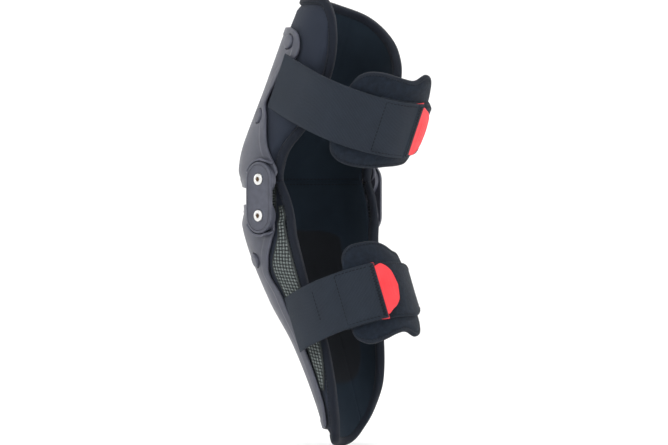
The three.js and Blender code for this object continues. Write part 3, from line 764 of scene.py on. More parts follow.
light("key", -1.2, 1.9, 1.3, 0.9, 13)
light("fill", 1.6, 1.8, 0.5, 1.4, 5)
light("top", 0.1, 0.3, 2.0, 1.4, 9)
light("rim_left", -1.7, -0.6, 0.4, 0.8, 2)
light("rim_right", 1.7, -0.7, 0.4, 0.8, 4)

world = bpy.data.worlds.new("studio")
world.use_nodes = True
world.node_tree.nodes["Background"].inputs[0].default_value = (1, 1, 1, 1)
world.node_tree.nodes["Background"].inputs[1].default_value = 1.0
scene.world = world
scene.view_settings.view_transform = "Standard"


def studio_floor():
    """A pale round floor whose rim sweeps up into a wall on every side."""
    sweep = np.linspace(0.1, np.pi / 2, 10)
    flat = np.linspace(1, FLOOR_FLAT, 14)
    wall = FLOOR_FLAT + FLOOR_SWEEP
    radii = np.concatenate([flat, FLOOR_FLAT + FLOOR_SWEEP * np.sin(sweep), [wall]])
    rise = np.concatenate([0 * flat, FLOOR_SWEEP * (1 - np.cos(sweep)), [WALL_HEIGHT]])
    heights = rise + cad_low[2] / MM - 1.0
    turn = np.linspace(0, 2 * np.pi, 72, endpoint=False)
    rings = np.array([np.stack([r * np.cos(turn), r * np.sin(turn), np.full(72, up)], -1)
                      for r, up in zip(radii, heights)])
    index = np.arange(rings.shape[0] * 72).reshape(-1, 72)
    faces = ring_quads(index[:-1], index[1:])
    new_piece("floor", rings.reshape(-1, 3), faces, pale_paint("floor_paint"))


studio_floor()


# ---- shells
THIGH_RIVETS = [(70, 0.405 * THIGH), (77, 0.763 * THIGH)]
SHIN_RIVETS = [(69, -0.25 * SHIN)]
SIDES = ((1, "left"), (-1, "right"))
OUTER_TUCK = 4.4  # how far each shell's knee edge turns in, on its outer face
INNER_TUCK = 2.4
KNEE_BULGE = 4.0  # how far the cup swells over the kneecap
BOSS_HEIGHT = 1.5
KEEL_HEIGHT = 1.6
CHEVRON_DEPTH = 1.1
CREASE_DEPTH = 0.8
BORDER_STEP = 0.7
BORE_RADIUS = 4.9
NUT_POCKET_RADIUS = 8.5
WELL_DEPTH = 1.7  # of the recess round each rivet


def knee_bulge(angle, z):
    return KNEE_BULGE * hump(z, 38, 30) * np.maximum(np.cos(np.radians(angle)), 0) ** 2


def no_bulge(angle, z):
    return 0 * z


def knee_tuck(angle, z):
    """1 at a shell's edge across the knee, 0 away from it and near the hinges."""
    return (1 - ramp(np.abs(z), 9, 27)) * (1 - ramp(np.abs(angle), 56, 80))


def dense_ends(side_share, side_count, middle_count):
    """Shares from 0 to 1, closer together near both ends."""
    side = np.linspace(0, side_share, side_count)
    middle = np.linspace(side_share, 1 - side_share, middle_count)[1:-1]
    return np.concatenate([side, middle, 1 - side[::-1]])


def dense_start(share, start_count, rest_count):
    return np.concatenate([np.linspace(0, share, start_count), np.linspace(share, 1, rest_count)[1:]])


def chevrons(angle, z, heights):
    """Shallow V-shaped grooves across the front, one at each height."""
    rise = z - 0.42 * np.abs(angle)
    grooves = sum(hump(rise, height, 2.3) for height in heights)
    return -CHEVRON_DEPTH * grooves * (1 - ramp(np.abs(angle), 26, 31))


def border_step(edge):
    return -BORDER_STEP * ramp(edge, 6.5, 8.5)


def thigh_relief(angle, z, edge):
    """A raised boss over the kneecap, a border step, side creases and chevrons above the boss."""
    boss = BOSS_HEIGHT * (1 - ramp(np.hypot(angle / 37, (z - 52) / 29), 0.92, 1.02))
    crease = CREASE_DEPTH * hump(np.abs(angle), 46, 3.5) * ramp(z, 52, 70) * (1 - ramp(z, 128, 146))
    return boss + border_step(edge) - crease + chevrons(angle, z, (98, 112, 126))


def shin_relief(angle, z, edge):
    """A long keel, a border step, creases beside the keel and chevrons below the knee."""
    keel = KEEL_HEIGHT * hump(angle, 0, 15) * ramp(-z, 40, 75)
    crease = CREASE_DEPTH * hump(np.abs(angle), 44, 4) * ramp(-z, 55, 75) * (1 - ramp(-z, 165, 185))
    return keel + border_step(edge) - crease + chevrons(angle, -z, (62, 78, 94))


def rim_rings(side, up):
    """The raised rim that the shell has round one end of a hinge plate, tapered at both ends."""
    turn = np.radians(np.linspace(50, 170, 61))
    share = np.linspace(0, 1, 61)
    taper = ramp(share, 0, 0.16) * (1 - ramp(share, 0.86, 1))
    root = leg_point(90.0, up * (PIVOT_HEIGHT + RIM_CENTRE), SHELL_OUTER)[0] - 1.5
    top = LUG_FACE + RIM_RISE
    rings = []
    for angle, k in zip(turn, taper):
        crest = root + 2.2 + (top - root - 2.2) * k
        half = [(1.5, root), (1.25, crest - 0.8), (0.9, crest - 0.2), (0.4, crest)]
        profile = [(-r, x) for r, x in half] + half[::-1]
        rings.append([(side * x, (RIM_CENTRE + r) * math.cos(angle),
                       up * (PIVOT_HEIGHT + (RIM_CENTRE + r) * math.sin(angle))) for r, x in profile])
    return np.array(rings)


def rivet_seat(angle, z, side):
    """The middle of a rivet on the shell's face, and the way out from it."""
    return leg_point(side * angle, z, SHELL_OUTER), leg_normal(side * angle, z, SHELL_OUTER)


def build_shell(name, node, surface, v, relief, up, rivets, bulge):
    """A shell with its lugs and rims joined on and its bores, nut pockets and rivet wells cut."""
    grid = surface(dense_ends(0.2, 46, 92)[None, :], v[:, None])
    angle, z = grid[..., 0], grid[..., 1]
    stand, tuck = bulge(angle, z), knee_tuck(angle, z)
    edge = edge_distance(leg_point(angle, z, SHELL_OUTER + stand))
    outer = leg_point(angle, z, SHELL_OUTER + stand - OUTER_TUCK * tuck + relief(angle, z, edge))
    inner = leg_point(angle, z, SHELL_INNER + stand - INNER_TUCK * tuck)
    shell = slab(name, outer, inner, SHELL, roundness=0.45, loops=5)
    lug = [(LUG_RADIUS, LUG_FACE - LUG_DEPTH), (LUG_RADIUS, LUG_FACE - 0.5), (LUG_RADIUS - 0.5, LUG_FACE)]
    pocket = [(NUT_POCKET_RADIUS, SHELL_SIDE - 12), (NUT_POCKET_RADIUS, NUT_FACE + 2.6)]
    bore = [(BORE_RADIUS, SHELL_SIDE - 2), (BORE_RADIUS, LUG_FACE + 1)]
    well = turned_rings([(RIVET_RADIUS + 1.0, -WELL_DEPTH), (RIVET_RADIUS + 1.5, 3.0)])
    added, cuts = [], []
    for side in (1, -1):
        added += [at_pivot("lug", lug, side, up, SHELL, 72), tube("rim", rim_rings(side, up), SHELL)]
        cuts += [at_pivot("pocket", pocket, side, up, SHELL), at_pivot("bore", bore, side, up, SHELL, 40)]
        cuts += [tube("well", placed(well, *rivet_seat(*rivet, side)), SHELL) for rivet in rivets]
    shape_with(shell, added, "UNION")
    shape_with(shell, cuts, "DIFFERENCE")
    shade(shell, 32)
    finish_piece(shell, node)


build_shell("knee_cup", "thigh_shell", THIGH_SHELL, dense_start(0.25, 36, 92), thigh_relief, 1,
            THIGH_RIVETS, knee_bulge)
build_shell("shin_plate", "shin_shell", SHIN_SHELL, dense_start(0.2, 36, 110), shin_relief, -1,
            SHIN_RIVETS, no_bulge)


def build_rivets(part, rivets):
    """The domed rivets of one shell, numbered where a side has more than one."""
    r = RIVET_RADIUS
    rings = turned_rings([(2.5, -3.0), (2.5, -1.65), (r - 0.3, -1.65), (r, -1.3), (r, 0.55),
                          (r - 0.25, 1.0), (r - 0.8, 1.35), (r - 1.6, 1.5), (3.2, 1.62), (0.4, 1.7)])
    for side, word in SIDES:
        for k, rivet in enumerate(rivets):
            place = word + (f"_{k + 1}" if len(rivets) > 1 else "")
            head = tube(f"{part}_rivet_head_{place}", placed(rings, *rivet_seat(*rivet, side)), PLATE)
            finish_piece(head, f"{part}_rivet_{place}", body=part)


build_rivets("thigh", THIGH_RIVETS)
build_rivets("shin", SHIN_RIVETS)


# ---- side hinges
SCREW_HOLE_RADIUS = 3.3
HEX_RADIUS = 2.15  # half the width across the flats of a screw's socket
HEX_DEPTH = 1.4


def outline_at(x, radius):
    """A plate's outline round both pivots, at a distance out from the knee's middle."""
    half = np.linspace(0, np.pi, 48)
    top = np.stack([radius * np.cos(half), PIVOT_HEIGHT + radius * np.sin(half)], -1)
    return np.column_stack([np.full(2 * len(half), x), np.vstack([top, -top])])


def build_plate(side, word):
    """A hinge plate with screw recesses, screw holes and a groove just inside its edge."""
    rings = [outline_at(side * station, PLATE_RADIUS - inset) for inset, station in (
        (0.3, PLATE_INNER), (0, PLATE_INNER + 0.4), (0, PLATE_OUTER - 1.0), (0.25, PLATE_OUTER - 0.45),
        (0.7, PLATE_OUTER - 0.12), (1.3, PLATE_OUTER))]
    plate = tube(f"link_plate_{word}", np.array(rings), PLATE)
    recess = [(SCREW_RADIUS + 0.35, PLATE_OUTER - 1.2), (SCREW_RADIUS + 0.35, PLATE_OUTER - 0.3),
              (SCREW_RADIUS + 0.9, PLATE_OUTER + 0.3)]
    hole = [(SCREW_HOLE_RADIUS, PLATE_INNER - 1), (SCREW_HOLE_RADIUS, PLATE_OUTER)]
    cuts = []
    for up in (1, -1):
        cuts += [at_pivot("recess", recess, side, up, PLATE), at_pivot("hole", hole, side, up, PLATE, 40)]
    groove = [outline_at(side * (PLATE_OUTER + x), PLATE_RADIUS - inset)
              for inset, x in ((2.4, 0.05), (3.3, 0.05), (3.0, -0.35), (2.7, -0.35))]
    cuts.append(tube("groove", np.stack(groove, 1), PLATE, closed=True))
    shape_with(plate, cuts, "DIFFERENCE")
    shade(plate, 28)
    finish_piece(plate, f"hinge_plate_{word}")


def build_screws(side, word):
    """Both pivot screws of a side, with the hex socket's floor painted dark as painted shade, and metal on
    the nuts and bushes.
    """
    r, seat, floor = SCREW_RADIUS, SCREW_TOP - 2.0, SCREW_TOP - HEX_DEPTH
    profile = [(1.8, seat - 5.0), (1.8, seat), (r, seat), (r, seat + 0.9), (r - 0.25, seat + 1.4),
               (r - 0.8, seat + 1.8), (4.0, seat + 1.96), (3.1, SCREW_TOP), (HEX_RADIUS + 0.3, SCREW_TOP),
               (HEX_RADIUS, SCREW_TOP - 0.25), (HEX_RADIUS, floor)]
    shapes = [0] * 8 + [6] * 3
    for up, place in ((1, "upper"), (-1, "lower")):
        screw = at_pivot(f"screw_{word}_{place}", profile, side, up, STEEL, 60, shapes, 30)
        # the socket floor gets the painted shade material
        screw.data.materials.append(SOCKET_SHADE)
        for polygon in screw.data.polygons:
            if len(polygon.vertices) > 4 and abs(polygon.center.x - side * floor * MM) < 1e-4:
                polygon.material_index = 1
        finish_piece(screw, f"pivot_screw_{word}_{place}")
        for stem, material in (("pivot_nut", STEEL), ("pivot_bush", BRONZE)):
            kept = frame["nodes"][f"{stem}_{word}_{place}"]
            kept.data.materials.clear()
            kept.data.materials.append(material)


for side, word in SIDES:
    build_plate(side, word)
    build_screws(side, word)


# ---- textile panels
THIGH_BEND = ("thigh", "left_link", (0, 0, 34 * MM), (0, 0, THIGH_SEAM * MM))
SHIN_BEND = ("left_link", "shin", (0, 0, -8 * MM), (0, 0, -30 * MM))
EDGE = 0.03  # share of a panel taken up by its binding
SEAM_ANGLE = 105.0
KNEE_BODY_OUTER = 5.4  # stand-off of the textile behind the knee mesh
PANEL_COLUMNS = 130
TAPE_STEP = 2.0  # between the rings of a binding
EDGE_DROP = 3.4  # how far a panel's face falls towards its binding
PAD_STEP = 0.95  # how far the inner pad stands in from the lining
LINING_GAP = 0.1


def bent_piece(obj, bend, slot, *nodes):
    """A textile piece that bends with the knee and stands for some CAD nodes."""
    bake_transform(obj, *bend)
    if nodes:
        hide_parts(*nodes)


def panel_points(surface, u, v, seam_z):
    """Angle and height over a panel, whose v below 0 carries on from its knee edge to the seam."""
    u, v = np.broadcast_arrays(u, v)
    base = surface(u, np.maximum(v, 0))
    seam = np.stack([(2 * u - 1) * SEAM_ANGLE, np.full(u.shape, seam_z)], -1)
    beyond = np.clip(-v, 0, 1)[..., None]
    return base * (1 - beyond) + seam * beyond


def at_knee(z):
    """1 in the thin zone behind the hinges, 0 on the padded parts."""
    return 1 - ramp(np.abs(z), 17, 25)


def panel_rows(seam_rows, rows):
    seam = np.linspace(-1, 0, seam_rows + 1)[:-1]
    return np.concatenate([seam, np.linspace(0, 1 - EDGE, rows)])


def folds(angle, z):
    """Soft uneven puckers of the cloth, in millimetres."""
    broad = np.sin(angle / 6.1 + z / 17) * np.sin(z / 11 - angle / 23)
    return 0.28 * broad + 0.15 * np.sin(z / 4.3 + angle / 31)


def build_panel(word, surface, seam_z, rows, bend, impact_pad, pad_mask):
    """A textile panel over its foam, and the lining on its inner face with its raised inner pad."""
    grid = panel_points(surface, np.linspace(EDGE, 1 - EDGE, PANEL_COLUMNS)[None, :],
                        panel_rows(*rows)[:, None], seam_z)
    angle, z = grid[..., 0], grid[..., 1]
    edge = edge_distance(leg_point(angle, z, PAD_OUTER))
    full = (PAD_OUTER - 0.5) * (1 - at_knee(z)) + KNEE_BODY_OUTER * at_knee(z)
    crown = full - EDGE_DROP * (1 - ramp(edge, 0.0, 9.0)) * (1 - 0.4 * at_knee(z))
    outer = leg_point(angle, z, crown + folds(angle, z) * ramp(edge, 3, 12))
    panel = slab(f"{word}_panel", outer, leg_point(angle, z, LINER_THICKNESS + 0.35), TEXTILE, roundness=0.3)
    bent_piece(panel, bend, "textile", f"{word}_pad", impact_pad)

    inside = pad_mask(angle, z)
    seams = hump(np.abs(angle), 41, 1.3) * ramp(np.abs(z), 50, 60)
    recess = PAD_STEP * (1 - inside) + 0.55 * seams + 0.2 * folds(angle * 1.3, z) * (1 - inside)
    recess = np.clip(recess + 0.5 * (1 - ramp(edge, 0, 4)), 0, LINER_THICKNESS - 0.15)
    lining_outer = leg_point(angle, z, LINER_THICKNESS + LINING_GAP)
    lining = slab(f"{word}_lining", lining_outer, leg_point(angle, z, recess), LINER, roundness=0.2,
                  attributes={"tint": inside * (z < 0)})
    bent_piece(lining, bend, "liner", f"{word}_liner")
    along, across = flat_size(outer)


def knee_pad_mask(angle, z):
    """The inner pad over the kneecap."""
    return 1 - ramp(np.hypot(angle / 52, (z - 66) / 46), 0.9, 1.0)


def shin_pad_mask(angle, z):
    """The inner pad down the shin: straight sides and a round lower end."""
    below = np.maximum(-z - 128, 0) / 50
    above = np.maximum(z + 40, 0) / 10
    return 1 - ramp(np.sqrt((angle / 76) ** 4 + below ** 2 + above ** 2), 0.9, 1.0)


build_panel("thigh", THIGH_PANEL, THIGH_SEAM, (6, 120), THIGH_BEND, "knee_impact_pad", knee_pad_mask)
build_panel("shin", SHIN_PANEL, SHIN_SEAM, (26, 130), SHIN_BEND, "shin_impact_pad", shin_pad_mask)


def border_path(surface, seam_z):
    """Angle and height round a panel's edge: up its near side, over its end, down its far side."""
    along = np.linspace(-1, 1, 160)
    near = panel_points(surface, np.ones(160), along, seam_z)
    end = panel_points(surface, np.linspace(1, 0, 160), np.ones(160), seam_z)
    far = panel_points(surface, np.zeros(160), along[::-1], seam_z)
    path = np.vstack([near, end[1:-1], far])
    reach = arc_length(leg_point(path[:, 0], path[:, 1], PAD_INNER))
    path = between(np.linspace(0, reach[-1], int(reach[-1] / TAPE_STEP)), reach, path)
    for _ in range(6):
        path[1:-1] = (path[:-2] + 2 * path[1:-1] + path[2:]) / 4
    return path


BINDING_HALF_WIDTH = 4.3
BINDING_HALF_DEPTH = 4.4
BINDING_MIDDLE = 4.9
BINDING_SINK = 1.2  # how far the thin stretch behind a hinge moves in


def superellipse(count, power):
    """Points round a section with square-ish sides."""
    turn = np.linspace(0, 2 * np.pi, count, endpoint=False)
    c, s = np.cos(turn), np.sin(turn)
    return np.sign(c) * np.abs(c) ** (2 / power), np.sign(s) * np.abs(s) ** (2 / power)


def build_binding(word, surface, seam_z, bend):
    """The tape over a panel's edge, thinner behind the hinges, with stitches on both its faces."""
    path = border_path(surface, seam_z)
    angle, z = path[:, 0], path[:, 1]
    centre = leg_point(angle, z, BINDING_MIDDLE)
    normal = leg_normal(angle, z, BINDING_MIDDLE)
    into = unit(np.cross(normal, unit(np.gradient(centre, axis=0))))
    if np.dot(into[20], leg_point(0, z[20], 0) - centre[20]) < 0:
        into = -into
    thin = 1 - 0.32 * at_knee(z)[:, None]
    sink = (1 - thin) * BINDING_SINK
    a, b = superellipse(28, 2.7)
    rings = centre[:, None] + into[:, None] * (BINDING_HALF_WIDTH * (1 + a))[:, None]
    rings = rings + normal[:, None] * (BINDING_HALF_DEPTH * b * thin - sink)[..., None]
    bent_piece(tube(f"{word}_edge_tape", rings, BINDING), bend, "binding", f"{word}_binding")
    groups = []
    for face in (1, -1):
        line = centre + into * BINDING_HALF_WIDTH * 1.58
        line = line + normal * (face * (BINDING_HALF_DEPTH * 0.93 * thin) - sink)
        groups += stitch_bodies(line[2:-2], normal[2:-2] * face)
    bent_piece(merged(f"{word}_edge_tape_stitches", groups, THREAD), bend, "binding")


build_binding("thigh", THIGH_PANEL, THIGH_SEAM, THIGH_BEND)
build_binding("shin", SHIN_PANEL, SHIN_SEAM, SHIN_BEND)


def build_knee_seam():
    """Two rows of stitches on the lining, either side of the seam between the panels."""
    angle = np.linspace(-98, 98, 120)
    for gap, bend, name in ((2.6, THIGH_BEND, "knee_seam_upper"), (-2.6, SHIN_BEND, "knee_seam_lower")):
        z = np.full(angle.shape, KNEE_SEAM + gap)
        line, normal = leg_point(angle, z, 0.75), leg_normal(angle, z, 0.75)
        bent_piece(merged(name, stitch_bodies(line, -normal), THREAD), bend, "liner")


build_knee_seam()


# ---- meshes
SIDE_MESH_PITCH = 3.3
KNEE_MESH_PITCH = 2.6


def basket(along, across, pitch):
    """Relief of a basket weave, from 0 in the gaps to 1 on the strands."""
    warp, weft = np.abs(np.sin(np.pi * across / pitch)), np.abs(np.sin(np.pi * along / pitch))
    over = (np.floor(along / pitch) + np.floor(across / pitch)) % 2
    return np.where(over > 0.5, warp * (0.5 + 0.5 * weft), weft * (0.5 + 0.5 * warp))


def woven_slab(name, angle, z, low, high, pitch, depth):
    flat = leg_point(angle, z, high)
    uv = grid_uv(flat)
    edge = edge_distance(flat)
    relief = basket(uv[..., 0], uv[..., 1], pitch)
    hem = 1 - ramp(edge, 1.2, 1.8)
    relief = relief * (1 - hem) + 0.35 * hem
    outer = leg_point(angle, z, high - depth * (1 - relief))
    # the relief attribute also drives the painted shade in the weave's gaps
    return slab(name, outer, leg_point(angle, z, low), MESH, roundness=0.3, loops=2,
                attributes={"relief": relief}, sharp=80)


SHELL_SIDE_EDGE = on_shin((101.5, 0.035), (102.5, 0.14), (98, 0.2), (90, 0.28), (92, 0.39), (91, 0.5),
                          (88, 0.61), (85, 0.76))
BOUND_SIDE_EDGE = on_shin((104.5, 0.03), (109, 0.13), (112, 0.28), (113, 0.42), (113, 0.55), (103, 0.68),
                          (92, 0.76))


def build_shin_mesh(side, word):
    """The mesh facing between the shin shell and the panel's binding, on one side."""
    shell_edge, bound_edge = SHELL_SIDE_EDGE, BOUND_SIDE_EDGE
    if side < 0:
        shell_edge, bound_edge = mirrored(shell_edge), mirrored(bound_edge)
    ends = [[shell_edge[k], bound_edge[k]] for k in (0, -1)]
    surface = panel_map(*ends, shell_edge, bound_edge)
    reach = 1 if side > 0 else 0.86
    grid = surface(np.linspace(0, 1, 56)[None, :], np.linspace(0, reach, 300)[:, None])
    angle, z = grid[..., 0], grid[..., 1]
    low = PAD_OUTER + 0.1 - (PAD_OUTER - 0.1 - KNEE_BODY_OUTER) * at_knee(z)
    piece = woven_slab(f"side_mesh_{word}", angle, z, low, low + 1.1, SIDE_MESH_PITCH, 0.6)
    bent_piece(piece, SHIN_BEND, "mesh", f"shin_mesh_{word}")
    middle = leg_point(angle, z, low)
    area, (along, across) = sheet_area(middle), flat_size(middle)


for side, word in SIDES:
    build_shin_mesh(side, word)


def build_knee_mesh():
    low, high = in_mm("knee_gusset")[0][2], in_mm("knee_gusset")[1][2]
    angle, z = np.meshgrid(np.linspace(-100, 100, 360), np.linspace(low, high, 52))
    pleat = 0.25 * np.cos(2 * np.pi * z / 7)
    piece = woven_slab("knee_mesh", angle, z, KNEE_BODY_OUTER + 0.2, 6.35 + pleat, KNEE_MESH_PITCH, 0.45)
    finish_piece(piece, "knee_gusset")


build_knee_mesh()


# ---- straps, bands and back pads
THIGH_LEAN, SHIN_LEAN = 86.6, 96.8
LOOPS = {
    "upper": dict(back=50, height=0.4947 * THIGH, tilt=-math.atan2(THIGH_LEAN, THIGH), front=160,
                  rear=78.5, half_width=SHELL_SIDE - 1, root=75.5, end=186, band=148, tab_middle=-2.0,
                  body="upper_strap_flap"),
    "lower": dict(back=48, height=-0.4661 * SHIN, tilt=math.atan2(SHIN_LEAN, SHIN), front=69,
                  rear=69, half_width=59.0, root=69, end=157, band=120, tab_middle=3.0,
                  body="lower_strap_flap"),
}
BAND_OUTER, BAND_INNER = -1.6, -3.4
HOOK_LENGTH = 34
TAB_LENGTH = 18
TAB_HALF_WIDTH = 23
GRIP_HEIGHT = 0.3
ZIGZAG_STITCHES = 34
BAND_TAPER = 12.0  # how much narrower a band's far end is, all of it on one edge
PAD_MIDDLE = -7.15  # stand-off of a back pad's middle layer
SIM_FRAMES = 20
PRESSURE = 4.0
PAD_OUTLINES = {
    "upper": dict(
        knee=[(121, -30), (124, -39), (132, -44.5), (145, -45), (160, -42.5), (172, -39.5), (185, -38),
              (198, -36), (206, -28)],
        end=[(122, 25), (126, 37), (133, 44.5), (145, 47.8), (159, 47), (170, 45.8), (177, 46.5), (183, 51),
             (189, 52.5), (197, 46), (204, 30)],
        far=[(121, -30), (119.5, 0), (122, 25)],
        near=[(206, -28), (209, 0), (204, 30)]),
    "lower": dict(
        knee=[(123, -30), (126, -38), (136, -45), (150, -44.5), (165, -41), (177, -40), (189, -45),
              (200, -41), (208, -30)],
        end=[(131, 30), (133, 42), (141, 49.5), (155, 50.5), (168, 49.5), (181, 45), (190, 40), (200, 38),
             (207, 28)],
        far=[(123, -30), (125, 0), (131, 30)],
        near=[(208, -30), (211, 0), (207, 28)]),
}


def loop_point(loop, angle, offset, w):
    """Points on a strap's loop: degrees from the front, stand-off, and height along its axis."""
    angle, offset, w = np.broadcast_arrays(*(np.asarray(a, float) for a in (angle, offset, w)))
    depth = np.where(np.cos(np.radians(angle)) > 0, loop["front"], loop["rear"])
    x, y = on_ellipse(angle, loop["half_width"], depth, offset)
    c, s = math.cos(loop["tilt"]), math.sin(loop["tilt"])
    return np.stack([x, loop["back"] + y * c - w * s, loop["height"] + y * s + w * c], -1)


def loop_normal(loop, angle, w, offset):
    return unit(loop_point(loop, angle, offset + 1, w) - loop_point(loop, angle, offset, w))


def ribbon_section(half, thickness, across=14):
    """Width and depth round a ribbon's section, with rounded edges; depth runs from 0 to thickness."""
    flat = np.linspace(-half + 0.5, half - 0.5, across)
    turn = np.linspace(-np.pi / 2, np.pi / 2, 7)[1:-1]
    edge, rise = half - 0.5 + 0.5 * np.cos(turn), thickness / 2 * np.sin(turn)
    w = np.concatenate([flat, edge, flat[::-1], -edge])
    d = np.concatenate([0 * flat, thickness / 2 + rise, 0 * flat + thickness, thickness / 2 - rise])
    return w, d


def ribbon(name, loop, angles, base, half, thickness, material, count=150, lift=None, thicken=None,
           narrow=None):
    """A strap along a loop, between two angles.

    lift moves it outwards, thicken adds to its face and narrow moves its points across its width.
    """
    angle = np.linspace(*angles, count)[:, None]
    w, d = ribbon_section(half, thickness)
    more = thicken(angle) if thicken else 0
    raised = base + d + np.where(d > thickness / 2, more, 0)
    if lift:
        raised = raised + lift(angle, w)
    return tube(name, loop_point(loop, angle, raised, narrow(angle, w) if narrow else w), material)


def sewn_on(loop, angle, w, offset, step=3.4, **sizes):
    """Stitches along a line on a strap's outer face."""
    angle, w = np.broadcast_arrays(np.asarray(angle, float), np.asarray(w, float))
    line = loop_point(loop, angle, offset, w)
    return stitch_bodies(line, loop_normal(loop, angle, w, offset), step, **sizes)


def build_strap(word, loop):
    """A strap with its sewn hem and stitches, and the hook patch under its end."""
    root, end, top = loop["root"] + 1.5, loop["end"], STRAP_THICKNESS + 0.1

    def wave(angle, w):
        return 0.22 * np.sin(angle / 8 + w / 19) * ramp(angle, root + 3, root + 20)

    def fold(angle):
        return 0.7 * ramp(angle, end - 5.2, end - 4.6)

    strap = ribbon(f"{word}_strap_webbing", loop, (root, end), 0, STRAP_HALF, STRAP_THICKNESS, WEBBING,
                   lift=wave, thicken=fold)
    finish_piece(strap, f"{word}_strap")
    groups = []
    inset = STRAP_HALF - 2.8
    for w in (-inset, inset):
        groups += sewn_on(loop, np.linspace(end - HOOK_LENGTH, end - 6.5, 40), w, top)
    groups += sewn_on(loop, end - HOOK_LENGTH, np.linspace(-inset, inset, 40), top)
    if word == "lower":
        groups += sewn_on(loop, loop["root"] + 33, np.linspace(-10, 19, 30), top)
    across = np.linspace(-STRAP_HALF + 2.0, STRAP_HALF - 2.0, ZIGZAG_STITCHES + 1)
    swing = end - 2.7 + 1.5 * (-1.0) ** np.arange(ZIGZAG_STITCHES + 1)
    for k in range(ZIGZAG_STITCHES):
        angle, w = (np.linspace(*ends[k:k + 2], 3) for ends in (swing, across))
        groups += sewn_on(loop, angle, w, STRAP_THICKNESS + 0.8, step=4.2, length=4.0, width=0.7)
    beside(merged(f"{word}_strap_stitches", groups, THREAD), loop["body"])
    hook = ribbon(f"{word}_hook_patch", loop, (end - HOOK_LENGTH, end - 2), -1.3, STRAP_HALF - 4, 1.0,
                  HOOK, 60)
    finish_piece(hook, f"{word}_strap_hook")


def build_tab(word, loop):
    """The red pull tab past a strap's end, with three grip ribs, and its lip under the webbing."""
    end, middle = loop["end"], loop["tab_middle"]
    u = np.concatenate([np.linspace(0, 0.85, 40), 0.85 + 0.15 * np.sin(np.linspace(0, np.pi / 2, 16))[1:]])
    u, share = u[:, None], np.linspace(-1, 1, 64)[None, :]
    rounding = np.sqrt((1 - 0.92 * u * u) * np.maximum(1 - ramp(u, 0.8, 1.02) ** 2, 0.02))
    angle = end + 0.7 + (TAB_LENGTH - 0.7) * u + 0 * share
    w = middle * ramp(u, 0, 0.4) + TAB_HALF_WIDTH * rounding * share
    edge = edge_distance(loop_point(loop, angle, 1.7, w))
    ridge = 0.35 * (1 - ramp(edge, 1.6, 2.2))
    grips = sum(GRIP_HEIGHT * hump(u, place, 0.045) for place in (0.34, 0.5, 0.66))
    grips = grips * (1 - ramp(np.abs(w - middle), 9, 11)) * ramp(edge, 2.4, 3.2)
    outer = loop_point(loop, angle, 1.65 + ridge + grips, w)
    tab = slab(f"{word}_pull_tab", outer, loop_point(loop, angle, 0.2, w), RED)
    finish_piece(tab, f"{word}_strap_tab")
    angle = np.linspace(end - 11, end + 1.2, 30)[:, None]
    w = (STRAP_HALF - 0.6 + 1.3 * ramp(angle, end - 11, end + 1)) * share
    lip = slab(f"{word}_tab_lip", loop_point(loop, angle, -0.05, w), loop_point(loop, angle, -0.27, w), RED)
    beside(lip, loop["body"])


def build_band(word, loop):
    """The band that a strap closes onto, with a row of stitches along each edge."""
    start, stop = loop["band"], 360 - loop["root"] - 1.5
    tapered = 1 if word == "upper" else -1
    thickness = BAND_OUTER - BAND_INNER

    def taper(angle, w):
        """Moves the points of one edge in towards the middle, over the far part of the band."""
        return w - tapered * BAND_TAPER * ramp(angle, 190, 225) * ramp(tapered * w, -STRAP_HALF, STRAP_HALF)

    def rise(angle):
        """From under the strap's level up to it, over the far part of the band."""
        return -BAND_INNER * ramp((angle - start) / (stop - start), 0.55, 0.95)

    def lift(angle, w):
        return rise(angle) + 0.15 * np.sin(angle / 9 + w / 15)

    band = ribbon(f"{word}_elastic_band", loop, (start, stop), BAND_INNER, STRAP_HALF, thickness, BRUSHED,
                  190, lift=lift, narrow=taper)
    finish_piece(band, f"{word}_loop_band")
    angle = np.linspace(start + 3, stop - 20, 90)
    groups = []
    for w in (-STRAP_HALF + 2.2, STRAP_HALF - 2.2):
        at = taper(angle, w)
        line = loop_point(loop, angle, BAND_OUTER + rise(angle) + 0.15, at)
        groups += stitch_bodies(line, loop_normal(loop, angle, at, 4.0))
    beside(merged(f"{word}_band_stitches", groups, THREAD), body_of(f"{word}_loop_band"))


def inflate(obj, pinned, caps):
    """Swells a pad with Blender's cloth, its pinned vertices held, no point moving past its cap."""
    group = obj.vertex_groups.new(name="pin")
    group.add(pinned, 1.0, "REPLACE")
    cloth = obj.modifiers.new("Cloth", "CLOTH")
    settings = cloth.settings
    settings.vertex_group_mass = "pin"
    settings.use_pressure = True
    settings.uniform_pressure_force = PRESSURE
    settings.tension_stiffness = 12
    settings.compression_stiffness = 12
    settings.bending_stiffness = 0.6
    settings.effector_weights.gravity = 0
    cloth.point_cache.frame_start, cloth.point_cache.frame_end = 1, SIM_FRAMES
    rest = np.array([v.co for v in obj.data.vertices])
    for f in range(1, SIM_FRAMES + 1):
        scene.frame_set(f)
    swollen = obj.evaluated_get(bpy.context.evaluated_depsgraph_get())
    moved = np.array([v.co for v in swollen.to_mesh().vertices]) - rest
    swollen.to_mesh_clear()
    obj.modifiers.remove(cloth)
    far = np.maximum(np.linalg.norm(moved, axis=1, keepdims=True), 1e-9)
    moved *= np.minimum(1, caps[:, None] / far)
    obj.data.vertices.foreach_set("co", (rest + moved).ravel())
    obj.vertex_groups.clear()
    scene.frame_set(1)


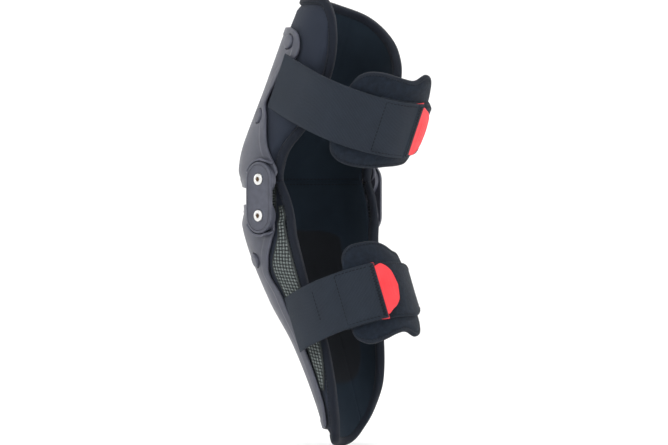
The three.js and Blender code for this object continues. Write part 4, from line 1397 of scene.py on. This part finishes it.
def build_back_pad(word, loop):
    """A brushed cushion, swollen between its bound edges, and held flat under the band."""
    outline = panel_map(**PAD_OUTLINES[word])
    grid = outline(np.linspace(0.012, 0.988, 44)[None, :], np.linspace(0.012, 0.988, 30)[:, None])
    angle, w = grid[..., 0], grid[..., 1]
    edge = edge_distance(loop_point(loop, angle, PAD_MIDDLE, w))
    puff = ramp(edge, -1, 8)
    quilt = 0.35 * np.sin(angle / 9 + w / 12) * np.sin(w / 10 - angle / 30) * puff
    outer = loop_point(loop, angle, PAD_MIDDLE + quilt + 1.5 + 1.35 * puff, w)
    inner = loop_point(loop, angle, PAD_MIDDLE + quilt - 1.5 - 1.35 * puff, w)
    pad = slab(f"{word}_back_cushion", outer, inner, BRUSHED, roundness=0.3, loops=2)
    count, total = angle.size, len(pad.data.vertices)
    rim = [k for k in range(total) if k >= 2 * count or edge.ravel()[k % count] < 0.1]
    caps = np.full(total, 0.3)
    caps[:count] = 0.3 + 1.6 * ramp(np.abs(w.ravel()), 27, 32)
    caps[count:2 * count] = 1.4
    inflate(pad, rim, caps * MM)
    subdivided(pad)
    finish_piece(pad, f"{word}_back_pad")
    build_piping(word, loop, outline, body_of(f"{word}_back_pad"))


def build_piping(word, loop, outline, body):
    """The bound edge of a back pad, and the row of stitches inside it."""
    t = np.linspace(0, 1, 90)[:-1]
    path = np.vstack([outline(*side) for side in ((t, 0), (1, t), (1 - t, 1), (0, 1 - t))])
    for _ in range(5):
        path = (np.roll(path, 1, axis=0) + 2 * path + np.roll(path, -1, axis=0)) / 4
    angle, w = path.T
    centre = loop_point(loop, angle, PAD_MIDDLE, w)
    normal = loop_normal(loop, angle, w, PAD_MIDDLE)
    into = unit(np.cross(normal, unit(np.roll(centre, -1, axis=0) - np.roll(centre, 1, axis=0))))
    if np.mean(np.sum(into * (centre.mean(axis=0) - centre), axis=1)) < 0:
        into = -into
    a, b = superellipse(20, 2.5)
    rings = centre[:, None] + into[:, None] * (1.6 + 2.0 * a)[:, None] + normal[:, None] * (2.35 * b)[:, None]
    beside(tube(f"{word}_cushion_tape", rings, PIPING, closed=True), body)
    groups = []
    for face in (1, -1):
        line = centre + into * 2.7 + normal * 2.1 * face
        groups += stitch_bodies(line, normal * face, step=3.0, length=2.1)
    beside(merged(f"{word}_cushion_stitches", groups, THREAD), body)


for word, loop in LOOPS.items():
    build_strap(word, loop)
    build_tab(word, loop)
    build_band(word, loop)
    build_back_pad(word, loop)
